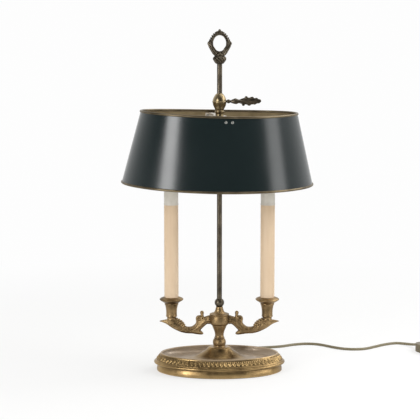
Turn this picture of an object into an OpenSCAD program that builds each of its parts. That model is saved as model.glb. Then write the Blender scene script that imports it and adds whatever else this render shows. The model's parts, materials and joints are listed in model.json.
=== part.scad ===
// Two-light bouillotte lamp: oval dished base, two fixed arms, and an oval shade that slides on a rod.
// Millimetres. Z up, X along the arms, the front at -Y. The origin is on the table, under the rod.

/* [Base] */
// Half length of the plinth band, along X
band_a = 111; // [104:1:120]
// Half width of the plinth band, along Y
band_b = 66; // [62:1:75]
// Height of the plinth band's top edge above the table
band_h = 14; // [13:0.5:15]
// How far the widest ring stands out from the band
ring_out = 5; // [3:0.5:7]
// How far the crest of the dish rim stands in from the band
rim_in = 8; // [6:0.5:9]
// Height of the dish rim above the table
rim_z = 32.5; // [31:0.5:36]
// Depth of the dish below its rim
dish_depth = 11; // [9:0.5:12]
// Height of the mound above the dish floor
mound_h = 22; // [20:0.5:26]
// Half length of the mound where it runs out into the dish floor
mound_run = 88; // [70:1:90]
// Wall of the base casting
base_wall = 3; // [2:0.25:3.5]
// Thickness of the felt
felt_t = 2; // [1.5:0.25:3]
// Thickness of the cover plate over the hollow of the base
cover_t = 1.4; // [0.8:0.2:2]

/* [Stem] */
// Radius of the baluster's foot, where it stands on the mound
foot_r = 11.4; // [10:0.2:13]
// Height of the baluster
baluster_h = 38.5; // [34:0.5:46]
// Radius of the hub
hub_r = 17.5; // [16.5:0.25:19]
// Height of the hub's drum
hub_h = 18.3; // [17:0.1:21]
// Wall of the hub
hub_wall = 4; // [3:0.25:4.5]
// Height of the hub's cap, up to the ball
cap_h = 14.4; // [12:0.2:20]
// Radius of the ball on the rod's foot
ball_r = 8.45; // [7.5:0.05:10]
// Radius of the threaded tube through the stem
tie_r = 5; // [4.5:0.25:5.5]
// Wall of the threaded tubes
tube_wall = 1.4; // [1:0.1:1.6]

/* [Rod and handle] */
// Radius of the rod
rod_r = 4.5; // [4:0.1:4.8]
// Height of the top of the rod's bare length above the table
rod_top = 540.4; // [500:1:600]
// Radius of the knot under the ring handle
knot_r = 11.8; // [9:0.2:14]
// Height of the knot
knot_h = 13.6; // [12:0.2:18]
// Half width of the ring handle's hole
eye_a = 11.25; // [9:0.25:13]
// Half height of the ring handle's hole
eye_h = 13.75; // [11:0.25:16]
// Width of the ring's band, from the hole to the beads
ring_band = 6.4; // [5:0.2:8]
// Thickness of the ring handle, along Y
ring_t = 7; // [5:0.5:9]
// Radius of a bead on the ring
bead_r = 2.75; // [2:0.05:3.2]

/* [Arms and candles] */
// Distance from the rod to the middle of a candle
candle_x = 84.6; // [82:0.2:87]
// Height of the arms' spine where they leave the hub, above the hub's underside
arm_rise = 9; // [8:0.25:10]
// Half thickness of an arm at its root, along Y
arm_t = 6.5; // [5.5:0.25:8]
// Height of the cup above its seat on the arm
cup_h = 29.5; // [26:0.5:40]
// Radius of the cup at its mouth
cup_r = 12.2; // [11.5:0.1:13]
// Radius of the drip pan
pan_r = 20.9; // [19:0.1:24]
// Depth of the drip pan's socket, in which the candle stands
pan_h = 7; // [5:0.5:9]
// Rise of the drip pan from its edge to its crown
pan_rise = 3.9; // [3:0.1:5]
// Outer radius of the candle sleeve
candle_r = 12.5; // [12:0.1:13]
// Wall of the candle sleeve
candle_wall = 1.2; // [0.8:0.1:1.6]
// Length of the candle sleeve
candle_l = 170.5; // [120:0.5:180]
// Outer radius of the lampholder
holder_r = 12.8; // [12.6:0.1:13.5]
// Height of the lampholder above the candle sleeve
holder_h = 35; // [30:0.5:38]
// Largest radius of a bulb
bulb_r = 17.5; // [15:0.5:18]
// Height of a bulb's glass
bulb_h = 78; // [70:1:80]

/* [Shade] */
// Half length of the shade's lower edge
shade_a = 168; // [160:1:180]
// Half width of the shade's lower edge
shade_b = 118; // [112:1:130]
// How far the wall runs in from the lower edge to the upper edge
shade_run = 30.5; // [26:0.5:33]
// Height of the shade
shade_h = 122.5; // [110:0.5:135]
// Height of the shade's upper edge above its spider, at the ends
shade_up = 6.5; // [5.5:0.25:8]
// How much lower the edges hang at the front and back than at the ends
shade_sag = 2.8; // [0:0.2:4]
// Thickness of the shade's metal
shade_wall = 0.8; // [0.6:0.1:1.2]
// Radius of the rolled rims
roll_r = 2.4; // [1.8:0.1:3]
// Height of the spider above the table, with the holder where the photograph shows it
spider_z = 450.5; // [440:0.5:460]
// How far the shade is turned about the rod, in degrees
shade_turn = 10; // [0:1:12]
// How far the shade leans down at the front, in degrees
lean_front = 1.9; // [0:0.1:2]
// How far the shade leans down at the right, in degrees
lean_right = 1.4; // [0:0.1:1.5]
// Width of the spider's bar
bar_w = 12; // [10:0.5:14]
// Thickness of the spider's bar
bar_t = 1.6; // [1.2:0.1:2]
// Distance between the two rivets at each end of the bar
rivet_gap = 11; // [9:0.5:13]
// Radius of a rivet's shank
rivet_r = 1.5; // [1.2:0.1:1.8]

/* [Shade holder and key] */
// Height of the shade holder above the spider
urn_h = 39.1; // [36:0.1:50]
// Largest radius of the shade holder
urn_r = 12.8; // [11.5:0.1:14]
// Radius of the holder's tail, which the spider turns on
tail_r = 6.2; // [6:0.1:7]
// Length of the tail below the spider
tail_l = 7; // [6:0.5:10]
// Radius of the key's screw
key_r = 2; // [1.5:0.1:2.4]
// Length of the key's leaf
leaf_l = 35.5; // [28:0.5:36]
// Half width of the key's leaf
leaf_w = 8.3; // [6:0.1:9]
// Thickness of the key's leaf
leaf_t = 4; // [3:0.25:5]

/* [Lead, switch and plug] */
// Radius of the lead
cord_r = 2.5; // [2.2:0.1:2.6]
// Height of the lead's way out of the band above the cover plate
outlet_up = 4.6; // [4.5:0.05:4.8]
// Length of the tapered strain relief outside the band
relief_l = 26; // [24:1:28]
// Length of the inline switch
switch_l = 64; // [60:1:66]
// Width of the inline switch
switch_w = 26; // [24:1:30]
// Height of the inline switch
switch_h = 15; // [14:0.5:17]
// Wall of the switch's shells
switch_wall = 1.8; // [1.4:0.2:2.2]
// Length of the rocker
rocker_l = 16; // [13:0.5:20]
// Width of the rocker
rocker_w = 9; // [7:0.5:11]
// Radius of the rocker's pivot pin
pivot_r = 1.2; // [1:0.1:1.5]
// Length of the plug's body
plug_l = 36; // [32:1:40]
// Width of the plug's face
plug_w = 35; // [32:0.5:37]
// Thickness of the plug
plug_t = 13.7; // [12:0.1:15]
// Radius of a plug pin
pin_r = 2; // [1.8:0.1:2.2]
// Distance between the plug pins
pin_gap = 18.6; // [17:0.1:19.5]
// Length of a plug pin
pin_l = 19; // [17:0.5:20]

/* [Hidden] */
$fn = 48;

brass = "#8a7043";
dark_brass = "#6b5532";
bright_brass = "#b08d4f";
steel = "#9a9a9a";
cream = "#e6cfa8";
pale = "#d8d6cf";
green = "#212a28";
lead_brown = "#73694f";

oval_n = 56;            // sides of an oval form
slip = 0.05;            // radial clearance of a piece that fits in or on another
loose = 0.1;            // radial clearance of a piece that turns on another
clear = 0.3;            // gap between neighbours that don't bear on each other

// ---- heights, from the table up ----
dish_z = rim_z - dish_depth;
mound_z = dish_z + mound_h;
hub_z = mound_z + baluster_h;
cap_z = hub_z + hub_h;
collar_z = cap_z + cap_h;
arm_z = hub_z + arm_rise;
cup_z = arm_z + 0.5;
pan_z = cup_z + cup_h;
sleeve_z = pan_z + 4;
socket_z = sleeve_z + candle_l;
glass_z = socket_z + holder_h;
knot_z = rod_top;
ring_z = knot_z + knot_h;
eye_z = ring_z + 8 + eye_h;
tube_bore = tie_r - tube_wall;
outlet_z = felt_t + cover_t + outlet_up;

// ---- oval forms ----
// Half width along Y of the base's oval of half length a: round at the foot, oval at the band
function oval_blend(a) = pow(min(1, max(0, (a - foot_r) / (band_a - foot_r))), 1.2);
function oval_b(a) = a - (band_a - band_b) * oval_blend(a);

function band_faces(n, m) = [
    for (i = [0:n - 1], j = [0:m - 1])
        let (i2 = (i + 1) % n, j2 = (j + 1) % m)
        each [[i * m + j, i * m + j2, i2 * m + j], [i2 * m + j, i * m + j2, i2 * m + j2]]
];

// A closed [a, z] outline swept round the base's oval
module oval_loft(outline, n = oval_n) {
    points = [
        for (i = [0:n - 1], p = outline)
            [p[0] * cos(360 * i / n), oval_b(p[0]) * sin(360 * i / n), p[1]]
    ];
    polyhedron(points, band_faces(n, len(outline)));
}

module oval_plate(a, t, n = 96) {
    linear_extrude(t)
        polygon([for (i = [0:n - 1]) [a * cos(360 * i / n), oval_b(a) * sin(360 * i / n)]]);
}

// A turned piece from its [radius, height] outline
module turned(outline) {
    rotate_extrude($fn = 72) polygon(outline);
}

module hex_nut(flats, h, bore) {
    difference() {
        cylinder(r = flats / sqrt(3), h = h, $fn = 6);
        translate([0, 0, -1]) cylinder(r = bore, h = h + 2);
    }
}

module both_sides() {
    children();
    mirror([1, 0, 0]) children();
}

// ---- swept tubes ----
function unit(v) = v / norm(v);

// A smooth curve through the points, with k steps between each two
function smooth(p, k) = [
    for (i = [0:len(p) - 2], j = [0:k - 1])
        let (a = p[max(0, i - 1)], b = p[i], c = p[i + 1], d = p[min(len(p) - 1, i + 2)], t = j / k)
        0.5 * (2 * b + (c - a) * t + (2 * a - 5 * b + 4 * c - d) * t * t
            + (3 * b - a - 3 * c + d) * t * t * t),
    p[len(p) - 1]
];

// A tube of radius r along the path. side is a direction that the path never takes.
module swept_tube(path, r, side, n = 8, start_dir = undef, end_dir = undef) {
    m = len(path);
    points = [
        for (i = [0:m - 1])
            let (
                ahead = i == 0 && !is_undef(start_dir) ? start_dir
                    : i == m - 1 && !is_undef(end_dir) ? end_dir
                    : path[min(m - 1, i + 1)] - path[max(0, i - 1)],
                t = unit(ahead),
                u = unit(cross(t, side)),
                v = cross(t, u)
            )
            for (k = [0:n - 1])
                path[i] + r * (cos(360 * (k + 0.5) / n) * u + sin(360 * (k + 0.5) / n) * v)
    ];
    walls = [
        for (i = [0:m - 2], k = [0:n - 1])
            let (k2 = (k + 1) % n)
            each [
                [i * n + k, (i + 1) * n + k, i * n + k2],
                [i * n + k2, (i + 1) * n + k, (i + 1) * n + k2]
            ]
    ];
    near_end = [for (k = [1:n - 2]) [0, k, k + 1]];
    far_end = [for (k = [1:n - 2]) [(m - 1) * n, (m - 1) * n + k + 1, (m - 1) * n + k]];
    polyhedron(points, concat(walls, near_end, far_end));
}

// ---- base ----
ring_a = band_a + ring_out;
crest_a = band_a - rim_in;
cove_a = crest_a - 1.7;
washer_t = 2;
base_nut_h = 5.5;
seat_t = 4;             // metal over the washer, at the top of the mound
cover_edge = 0.5;       // play of the cover plate in the band

// The mound's outline from the baluster's foot out: shares of the way to mound_run and of mound_h
mound_form = [
    [0, 1], [0.06, 0.99], [0.097, 0.93], [0.125, 0.84], [0.158, 0.735], [0.204, 0.615], [0.27, 0.47],
    [0.34, 0.34], [0.42, 0.235], [0.52, 0.16], [0.65, 0.09], [0.8, 0.03], [1, 0]
];
shoulder_steps = 5;     // points of that form on the solid shoulder under the baluster
mound_line = [for (p = mound_form) [foot_r + (mound_run - foot_r) * p[0], dish_z + mound_h * p[1]]];
cove_line = [
    for (t = [22.5:22.5:90])
        [mound_run + (cove_a - mound_run) * sin(t), rim_z - 1 - (dish_depth - 1) * cos(t)]
];
rim_line = [[crest_a - 0.7, rim_z], [crest_a + 0.7, rim_z], [crest_a + 1.8, rim_z - 1.2]];
moulding_line = [
    [crest_a + 10, band_h + 6], [ring_a - 1, band_h + 4.4], [ring_a, band_h + 3.4],
    [ring_a, band_h + 1.9], [ring_a - 1, band_h + 0.9], [band_a + 0.8, band_h + 0.3],
    [band_a, band_h - 0.8], [band_a, felt_t - 1]
];
under_line = [
    [band_a - base_wall, felt_t - 1], [band_a - base_wall, felt_t + cover_t],
    [band_a - base_wall - 2, felt_t + cover_t], [band_a - base_wall - 2, felt_t + cover_t + 2],
    [band_a - base_wall, felt_t + cover_t + 3], [band_a - base_wall, band_h],
    [ring_a - base_wall - 1, band_h + 2.6], [crest_a + 9 - base_wall, band_h + 6],
    [crest_a + 0.4 - base_wall, rim_z - 1 - base_wall],
    [cove_a - base_wall, rim_z - dish_depth + 2], [mound_run, dish_z - base_wall]
];
under_mound = [for (i = [len(mound_form) - 2:-1:shoulder_steps]) mound_line[i] - [0, base_wall]];
hollow_top = mound_z - seat_t;

module base_casting() {
    core_r = 4;
    outline = concat(
        [[core_r, mound_z]], mound_line, cove_line, rim_line, moulding_line, under_line, under_mound,
        [[foot_r + 2.2, hollow_top], [core_r, hollow_top]]
    );
    color(brass)
        difference() {
            oval_loft(outline);
            translate([0, 0, hollow_top - 1]) cylinder(r = tie_r + slip, h = seat_t + 2);
            translate([0, band_b - base_wall - 4, outlet_z])
                rotate([-90, 0, 0]) cylinder(r = neck_r + slip, h = base_wall + 8);
        }
}

module felt_pad() {
    color("#3c3a2c") oval_plate(band_a - base_wall - cover_edge, felt_t);
}

module cover_plate() {
    color(steel) translate([0, 0, felt_t]) oval_plate(band_a - base_wall - cover_edge, cover_t);
}

module base_washer() {
    color(steel)
        translate([0, 0, hollow_top - washer_t])
            difference() {
                cylinder(r = tie_r + 4, h = washer_t);
                translate([0, 0, -1]) cylinder(r = tie_r + slip, h = washer_t + 2);
            }
}

module base_nut() {
    color(steel)
        translate([0, 0, hollow_top - washer_t - base_nut_h]) hex_nut(2 * tie_r + 4, base_nut_h, tie_r);
}

tie_bottom = hollow_top - washer_t - base_nut_h - 2;
hub_nut_h = 3;
hub_floor = 3;
tie_top = hub_z + hub_floor + hub_nut_h + 0.5;

module tie_tube() {
    color(steel)
        translate([0, 0, tie_bottom])
            difference() {
                cylinder(r = tie_r, h = tie_top - tie_bottom);
                translate([0, 0, -1]) cylinder(r = tube_bore, h = tie_top - tie_bottom + 2);
            }
}

// The relief's neck passes through the band, between a flange outside and a small lip inside
neck_r = 4;
lip_r = 4.3;
flange_r = 5.4;
flange_t = 2;
relief_tip = 3.4;
outlet_y = band_b + flange_t + relief_l;

module cord_relief() {
    bore = cord_r + slip;
    inner_y = band_b - base_wall - flange_t;
    play = 0.3;         // the wall is curved, and the flange is flat
    color("#3a3326")
        translate([0, 0, outlet_z])
            rotate([-90, 0, 0])
                difference() {
                    turned_relief(inner_y, play);
                    translate([0, 0, inner_y - 1]) cylinder(r = bore, h = outlet_y - inner_y + 2);
                }
}

module turned_relief(inner_y, play) {
    turned([
        [0, inner_y - play], [lip_r, inner_y - play], [lip_r, inner_y + flange_t - play],
        [neck_r, inner_y + flange_t - play], [neck_r, band_b + slip], [flange_r, band_b + slip], [flange_r, band_b + flange_t],
        [relief_tip, outlet_y], [0, outlet_y]
    ]);
}

// ---- stem ----
// Baluster: ball foot, waist and vase, each radius at its share of the height
baluster = [
    [0, 11.3], [0.07, 10.5], [0.12, 11.2], [0.2, 11.6], [0.26, 11.25], [0.31, 10.75], [0.35, 9.9],
    [0.4, 8.8], [0.445, 8.05], [0.49, 7.75], [0.54, 7.8], [0.63, 8.4], [0.73, 9.6], [0.82, 10.8],
    [0.91, 12.3], [1, 13.2]
];

module stem_baluster() {
    k = foot_r / 11.4;
    color(brass)
        translate([0, 0, mound_z])
            turned(concat(
                [[tie_r + slip, 0]],
                [for (p = baluster) [p[1] * k, p[0] * baluster_h]],
                [[tie_r + slip, baluster_h]]
            ));
}

hub_in = hub_r - hub_wall;
arm_stub_r = 3.9;
arm_bore = 2.3;

module hub() {
    belt = 1.2;
    color(brass)
        translate([0, 0, hub_z])
            difference() {
                turned([
                    [tie_r + slip, 0], [hub_r - 4.2, 0], [hub_r - belt, 2.2], [hub_r, 5], [hub_r, 13],
                    [hub_r - belt, hub_h - 2], [hub_r - 0.4, hub_h], [hub_in, hub_h],
                    [hub_in, hub_floor], [tie_r + slip, hub_floor]
                ]);
                translate([0, 0, arm_rise])
                    rotate([0, 90, 0]) cylinder(r = arm_stub_r + slip, h = 3 * hub_r, center = true);
            }
}

module hub_nut() {
    color(steel) translate([0, 0, hub_z + hub_floor]) hex_nut(2 * tie_r + 4, hub_nut_h, tie_r);
}

cap_neck = 6;
socket_depth = 10;      // how deep the rod sits in the cap

module hub_cap() {
    rod_seat = collar_z - socket_depth;
    spigot = 1.5;
    lip = 1.8;
    color(brass)
        difference() {
            translate([0, 0, cap_z])
                turned([
                    [0, -spigot], [hub_in - slip, -spigot], [hub_in - slip, 0], [hub_r - 0.2, 0],
                    [hub_r - 0.2, lip - 0.6], [hub_r - 1, lip], [12.1, lip + 0.2], [10, lip + 1.9],
                    [7.8, cap_h * 0.5], [6.6, cap_h * 0.75], [cap_neck, cap_h], [0, cap_h]
                ]);
            translate([0, 0, rod_seat]) cylinder(r = rod_r + slip, h = socket_depth + 1);
        }
}

module rod_collar() {
    h = 2 * sqrt(ball_r * ball_r - rod_r * rod_r);
    color(dark_brass)
        translate([0, 0, collar_z + h / 2])
            difference() {
                sphere(r = ball_r, $fn = 48);
                cylinder(r = rod_r + slip, h = 3 * ball_r, center = true);
                translate([0, 0, -h / 2 - ball_r]) cylinder(r = 2 * ball_r, h = ball_r);
            }
}

knot_socket = 8;

module rod() {
    rod_foot = collar_z - socket_depth;
    color(dark_brass)
        translate([0, 0, rod_foot]) cylinder(r = rod_r, h = rod_top + knot_socket - rod_foot);
}

// ---- ring handle ----
module finial_knot() {
    color(dark_brass)
        translate([0, 0, knot_z])
            difference() {
                turned([
                    [0, 0], [rod_r + 1.4, 0], [knot_r * 0.62, knot_h * 0.12], [knot_r * 0.8, knot_h * 0.3],
                    [knot_r * 0.96, knot_h * 0.5], [knot_r, knot_h * 0.66], [knot_r * 0.94, knot_h * 0.82],
                    [knot_r * 0.74, knot_h], [0, knot_h]
                ]);
                translate([0, 0, -1]) cylinder(r = rod_r + slip, h = knot_socket + 1 + slip);
            }
}

bead_count = 13;
ring_steps = 28;

module ring_handle() {
    mid_a = eye_a + ring_band / 2;
    mid_h = eye_h + ring_band / 2;
    bead_a = eye_a + ring_band + bead_r * 0.4;
    bead_h = eye_h + ring_band + bead_r * 0.4;
    n = 10;
    points = [
        for (i = [0:ring_steps - 1])
            let (t = 360 * i / ring_steps, out = unit([cos(t) / mid_a, 0, sin(t) / mid_h]))
            for (k = [0:n - 1])
                [mid_a * cos(t), 0, eye_z + mid_h * sin(t)]
                    + ring_band / 2 * cos(360 * k / n) * out
                    + [0, ring_t / 2 * sin(360 * k / n), 0]
    ];
    color(dark_brass)
        union() {
            polyhedron(points, [for (f = band_faces(ring_steps, n)) [f[0], f[2], f[1]]]);
            for (i = [0:bead_count - 1])
                let (t = 180 * i / (bead_count - 1))
                hull()
                    translate([bead_a * cos(t), 0, eye_z + bead_h * sin(t)]) sphere(r = bead_r, $fn = 10);
            hull() {
                translate([0, 0, ring_z]) cylinder(r = 5, h = 1, $fn = 16);
                translate([-7, -ring_t / 2 + 0.6, ring_z + 7]) cube([14, ring_t - 1.2, 1]);
            }
            for (side = [-1, 1])
                hull() {
                    translate([side * 15.5, 0, eye_z - 6]) sphere(r = 3.6, $fn = 12);
                    translate([side * 7, 0, ring_z + 5]) sphere(r = 2.8, $fn = 12);
                }
        }
}

// ---- arms ----
// Each station of the left arm's spine: distance from the rod, height over the arm's root, half depth
// in the arm's plane, and half thickness as a share of the root's
arm_spine = [
    [15, 0, 7.4, 1], [20, 0, 7.4, 1], [27, -2.8, 7.6, 1], [33.5, -8, 7.9, 1], [41, -16.2, 8, 0.95],
    [49, -18.3, 6.6, 0.9], [57, -17.9, 6, 0.9], [63, -13, 7.6, 0.95], [70, -9.8, 9, 1],
    [78, -6.6, 8.6, 1.05], [86, -3.6, 7.2, 1], [94, -2.6, 4.8, 0.8], [101, -2.2, 2.6, 0.5],
    [106.4, -2.2, 0.6, 0.2]
];
arm_n = 12;

// The wires' way through an arm, from the splice to the foot of the candle tube
wire_way = [
    [5.5, 0], [12, 0], [20, -0.5], [27, -3], [33.5, -8.2], [41, -14.6], [49, -18], [57, -17.6],
    [65, -14], [73, -10.5], [80, -8], [84, -4.5], [84.6, 4]
];
spot_z = cup_z - arm_z;
candle_foot = arm_z - 4;

module arm_loft() {
    m = len(arm_spine);
    points = [
        for (i = [0:m - 1])
            let (
                s = arm_spine[i],
                a = arm_spine[max(0, i - 1)],
                b = arm_spine[min(m - 1, i + 1)],
                t = i == 0 ? [1, 0] : unit([b[0] - a[0], b[1] - a[1]])
            )
            for (k = [0:arm_n - 1])
                let (u = s[2] * cos(360 * k / arm_n), v = s[3] * arm_t * sin(360 * k / arm_n))
                [s[0] - u * t[1], v, s[1] + u * t[0]]
    ];
    walls = [
        for (i = [0:m - 2], k = [0:arm_n - 1])
            let (k2 = (k + 1) % arm_n)
            each [
                [i * arm_n + k, i * arm_n + k2, (i + 1) * arm_n + k],
                [i * arm_n + k2, (i + 1) * arm_n + k2, (i + 1) * arm_n + k]
            ]
    ];
    near_end = [for (k = [1:arm_n - 2]) [0, k + 1, k]];
    far_end = [for (k = [1:arm_n - 2]) [(m - 1) * arm_n, (m - 1) * arm_n + k, (m - 1) * arm_n + k + 1]];
    polyhedron(points, concat(walls, near_end, far_end));
}

// The scroll's volute, the crest above it and the hook below
module arm_scrolls() {
    volute = [36.1, 1.2];
    volute_r = 7.1;
    translate([volute[0], 0, volute[1]]) rotate([90, 0, 0]) cylinder(r = volute_r, h = 2 * arm_t - 1, center = true);
    translate([volute[0], 0, volute[1]]) sphere(r = arm_t + 0.6, $fn = 32);
    hull() {
        translate([31, 0, 12.6]) rotate([90, 0, 0]) cylinder(r = 3.3, h = arm_t, center = true, $fn = 16);
        translate([30.5, 0, 5]) rotate([90, 0, 0]) cylinder(r = 3.6, h = arm_t, center = true, $fn = 16);
    }
    hull() {
        translate([31, 0, -26]) rotate([90, 0, 0]) cylinder(r = 2, h = arm_t, center = true, $fn = 16);
        translate([40, 0, -22.2]) rotate([90, 0, 0]) cylinder(r = 4.8, h = 1.2 * arm_t, center = true, $fn = 16);
        translate([38, 0, -18]) rotate([90, 0, 0]) cylinder(r = 3, h = arm_t, center = true, $fn = 16);
    }
}

module wire_path(r) {
    path = smooth([for (p = wire_way) [p[0], 0, p[1]]], 2);
    swept_tube(path, r, [0, 1, 0], 8, [1, 0, 0]);
}

module right_arm() {
    translate([0, 0, arm_z])
        difference() {
            union() {
                arm_loft();
                arm_scrolls();
                translate([hub_in - 4, 0, 0]) rotate([0, 90, 0]) cylinder(r = arm_stub_r, h = 12);
            }
            difference() {
                translate([0, 0, -20]) cylinder(r = hub_r + slip, h = 40);
                rotate([0, 90, 0]) cylinder(r = arm_stub_r, h = 3 * hub_r);
            }
            wire_path(arm_bore);
            translate([candle_x, 0, spot_z]) cylinder(r = 9, h = 20);
            translate([candle_x, 0, candle_foot - arm_z]) cylinder(r = tie_r + slip, h = 20);
        }
}

module arm_left() { color(brass) mirror([1, 0, 0]) right_arm(); }
module arm_right() { color(brass) right_arm(); }

module arm_nuts() {
    h = 2.6;
    round_gap = 1.2;    // the hub's inside is round, and the nut's face is flat
    color(steel)
        both_sides()
            translate([hub_in - h - round_gap, 0, arm_z])
                rotate([0, 90, 0]) hex_nut(2 * arm_stub_r + 2.2, h, arm_stub_r);
}

// ---- cups, pans and candles ----
module cup() {
    k = cup_r / 12.2;
    color(brass)
        translate([candle_x, 0, cup_z])
            turned(concat(
                [[tie_r + slip, 0]],
                [for (p = [[0, 8.6], [0.08, 7.9], [0.17, 8.6], [0.21, 9.7], [0.27, 9.6], [0.5, 9.65],
                    [0.68, 10], [0.82, 10.7], [0.9, 11.5], [0.95, 12.2], [1, 12.2]]) [p[1] * k, p[0] * cup_h]],
                [[tie_r + slip, cup_h]]
            ));
}

module cup_left() { mirror([1, 0, 0]) cup(); }
module cup_right() { cup(); }

// A disc that rises to a crown, in which the candle stands
module drip_pan() {
    floor_t = sleeve_z - pan_z;
    crown_z = floor_t + pan_h;
    edge_z = crown_z - pan_rise;
    socket_r = candle_r + clear;
    color(brass)
        translate([candle_x, 0, pan_z])
            turned([
                [tie_r + slip, 0], [cup_r - 0.3, 0], [cup_r + 1.2, 1.2], [pan_r - 4.4, edge_z - 3.7],
                [pan_r - 1.5, edge_z - 2], [pan_r - 0.2, edge_z - 0.7], [pan_r, edge_z], [pan_r - 0.4, edge_z + 0.8],
                [pan_r - 1.9, edge_z + 1.8], [pan_r - 4.9, edge_z + 0.8 * pan_rise], [socket_r + 0.8, crown_z - 0.1],
                [socket_r, crown_z], [socket_r, floor_t], [tie_r + slip, floor_t]
            ]);
}

module drip_pan_left() { mirror([1, 0, 0]) drip_pan(); }
module drip_pan_right() { drip_pan(); }

pan_nut_h = 4;

module pan_nuts() {
    color(steel)
        both_sides()
            translate([candle_x, 0, sleeve_z]) hex_nut(2 * tie_r + 4, pan_nut_h, tie_r);
}

skirt_l = 15;           // how far the lampholder's skirt goes into the sleeve
holder_floor = 3;
partition_z = 4;        // height of the partition over the sleeve's top
partition_t = 4;
shell_r = 7.5;          // outside of the lampholder's screw shell
shell_t = 0.45;
candle_head = socket_z - skirt_l + holder_floor;

module candle_tube() {
    color(steel)
        translate([candle_x, 0, candle_foot])
            difference() {
                cylinder(r = tie_r, h = candle_head - candle_foot);
                translate([0, 0, -1]) cylinder(r = tube_bore, h = candle_head - candle_foot + 2);
            }
}

module candle_tube_left() { mirror([1, 0, 0]) candle_tube(); }
module candle_tube_right() { candle_tube(); }

module candle() {
    color(cream)
        translate([candle_x, 0, sleeve_z])
            difference() {
                cylinder(r = candle_r, h = candle_l);
                translate([0, 0, -1]) cylinder(r = candle_r - candle_wall, h = candle_l + 2);
            }
}

module candle_left() { mirror([1, 0, 0]) candle(); }
module candle_right() { candle(); }

module lampholder() {
    skirt = candle_r - candle_wall - loose;
    bell = shell_r + 2;
    color(pale)
        translate([candle_x, 0, socket_z])
            turned([
                [tie_r + slip, -skirt_l], [skirt, -skirt_l], [skirt, 0], [holder_r, 0],
                [holder_r, holder_h - 1.5], [holder_r - 1.5, holder_h], [shell_r + slip, holder_h],
                [shell_r + slip, partition_z + partition_t], [2, partition_z + partition_t],
                [2, partition_z], [bell, partition_z], [bell, holder_floor - skirt_l],
                [tie_r + slip, holder_floor - skirt_l]
            ]);
}

module lampholder_left() { mirror([1, 0, 0]) lampholder(); }
module lampholder_right() { lampholder(); }

shell_foot = socket_z + partition_z + partition_t + 4;

module screw_shells() {
    h = glass_z - 1 - shell_foot;
    color(bright_brass)
        both_sides()
            translate([candle_x, 0, shell_foot])
                difference() {
                    cylinder(r = shell_r, h = h);
                    translate([0, 0, -1]) cylinder(r = shell_r - shell_t, h = h + 2);
                }
}

contact_h = 2.5;

module holder_contacts() {
    color(bright_brass)
        both_sides()
            translate([candle_x, 0, socket_z + partition_z + partition_t]) cylinder(r = 3.2, h = contact_h);
}

cap_foot = socket_z + partition_z + partition_t + contact_h;

module bulb_cap() {
    button_h = 2;
    cap_r = shell_r - shell_t - loose;
    color(bright_brass)
        translate([candle_x, 0, cap_foot])
            turned([
                [0, 0], [2.4, 0], [2.6, button_h], [cap_r - 0.8, button_h + 1], [cap_r, button_h + 2],
                [cap_r, glass_z - cap_foot], [0, glass_z - cap_foot]
            ]);
}

module bulb_cap_left() { mirror([1, 0, 0]) bulb_cap(); }
module bulb_cap_right() { bulb_cap(); }

// Candle bulb: each radius as a share of the largest, at its share of the height
bulb_line = [
    [0, 0.37], [0.04, 0.42], [0.12, 0.66], [0.22, 0.89], [0.32, 0.995], [0.38, 1], [0.48, 0.955],
    [0.6, 0.82], [0.72, 0.62], [0.84, 0.38], [0.93, 0.2], [0.985, 0.1], [1, 0.02]
];
glass_t = 0.8;

module bulb_glass() {
    color("#f4f0e2")
        translate([candle_x, 0, glass_z])
            turned(concat(
                [for (p = bulb_line) [p[1] * bulb_r, p[0] * bulb_h]],
                [[0, bulb_h], [0, bulb_h - 3 * glass_t]],
                [for (i = [len(bulb_line) - 3:-1:0]) let (p = bulb_line[i])
                    [p[1] * bulb_r - glass_t, max(0, p[0] * bulb_h - glass_t * p[0] * 2)]]
            ));
}

module bulb_glass_left() { mirror([1, 0, 0]) bulb_glass(); }
module bulb_glass_right() { bulb_glass(); }

// ---- wiring inside ----
joint_r = 5.5;
joint_h = 9;
joint_z = tie_top + 1;
bend_r = 20;
wire_r = 1.4;

module cord_inner() {
    path = concat(
        [[0, outlet_y, outlet_z], [0, band_b, outlet_z], [0, (band_b + bend_r) / 2, outlet_z]],
        [for (t = [0:22.5:90]) [0, bend_r * (1 - sin(t)), outlet_z + bend_r * (1 - cos(t))]],
        [[0, 0, hub_z - 20], [0, 0, joint_z]]
    );
    color(lead_brown) swept_tube(path, cord_r, [1, 0, 0], 8);
}

module wire_joint() {
    color("#d9d4c4") translate([0, 0, joint_z]) cylinder(r = joint_r, h = joint_h);
}

module wire() {
    color("#b9a98a") {
        path = concat(
            smooth([for (p = wire_way) [p[0] + 0.1, 0, arm_z + p[1]]], 2),
            [[candle_x, 0, arm_z + 14], [candle_x, 0, candle_head], [candle_x, 0, socket_z + partition_z]]
        );
        swept_tube(path, wire_r, [0, 1, 0], 8, [1, 0, 0], [0, 0, 1]);
    }
}

module wire_left() { mirror([1, 0, 0]) wire(); }
module wire_right() { wire(); }

// ---- shade ----
shade_n = 64;
top_z = shade_up;
low_z = shade_up - shade_h;
wall_slope = atan(shade_run / shade_h);
lean = acos(cos(lean_front) * cos(lean_right));

function shade_in(z) = shade_run * (z - low_z) / shade_h;
function edge_drop(t) = shade_sag * sin(t) * sin(t);

// A point of the shade's outside, at an angle round it and a height over the spider at the ends
function shade_point(t, z, off = 0) =
    let (a = shade_a - shade_in(z), b = shade_b - shade_in(z), out = unit([cos(t) / a, sin(t) / b]))
    [a * cos(t) + off * out[0], b * sin(t) + off * out[1], z - edge_drop(t)];

module placed_shade() {
    translate([0, 0, spider_z]) rotate([lean_front, lean_right, 0]) rotate([0, 0, shade_turn]) children();
}

rivet_down = 4.5;       // depth of the rivets below the spider
tab_gap = 0.35;
tab_h = 12;
tab_w = rivet_gap + 9;

function wall_y(z) = shade_b - shade_in(z + shade_sag) - shade_wall / cos(wall_slope);

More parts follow.
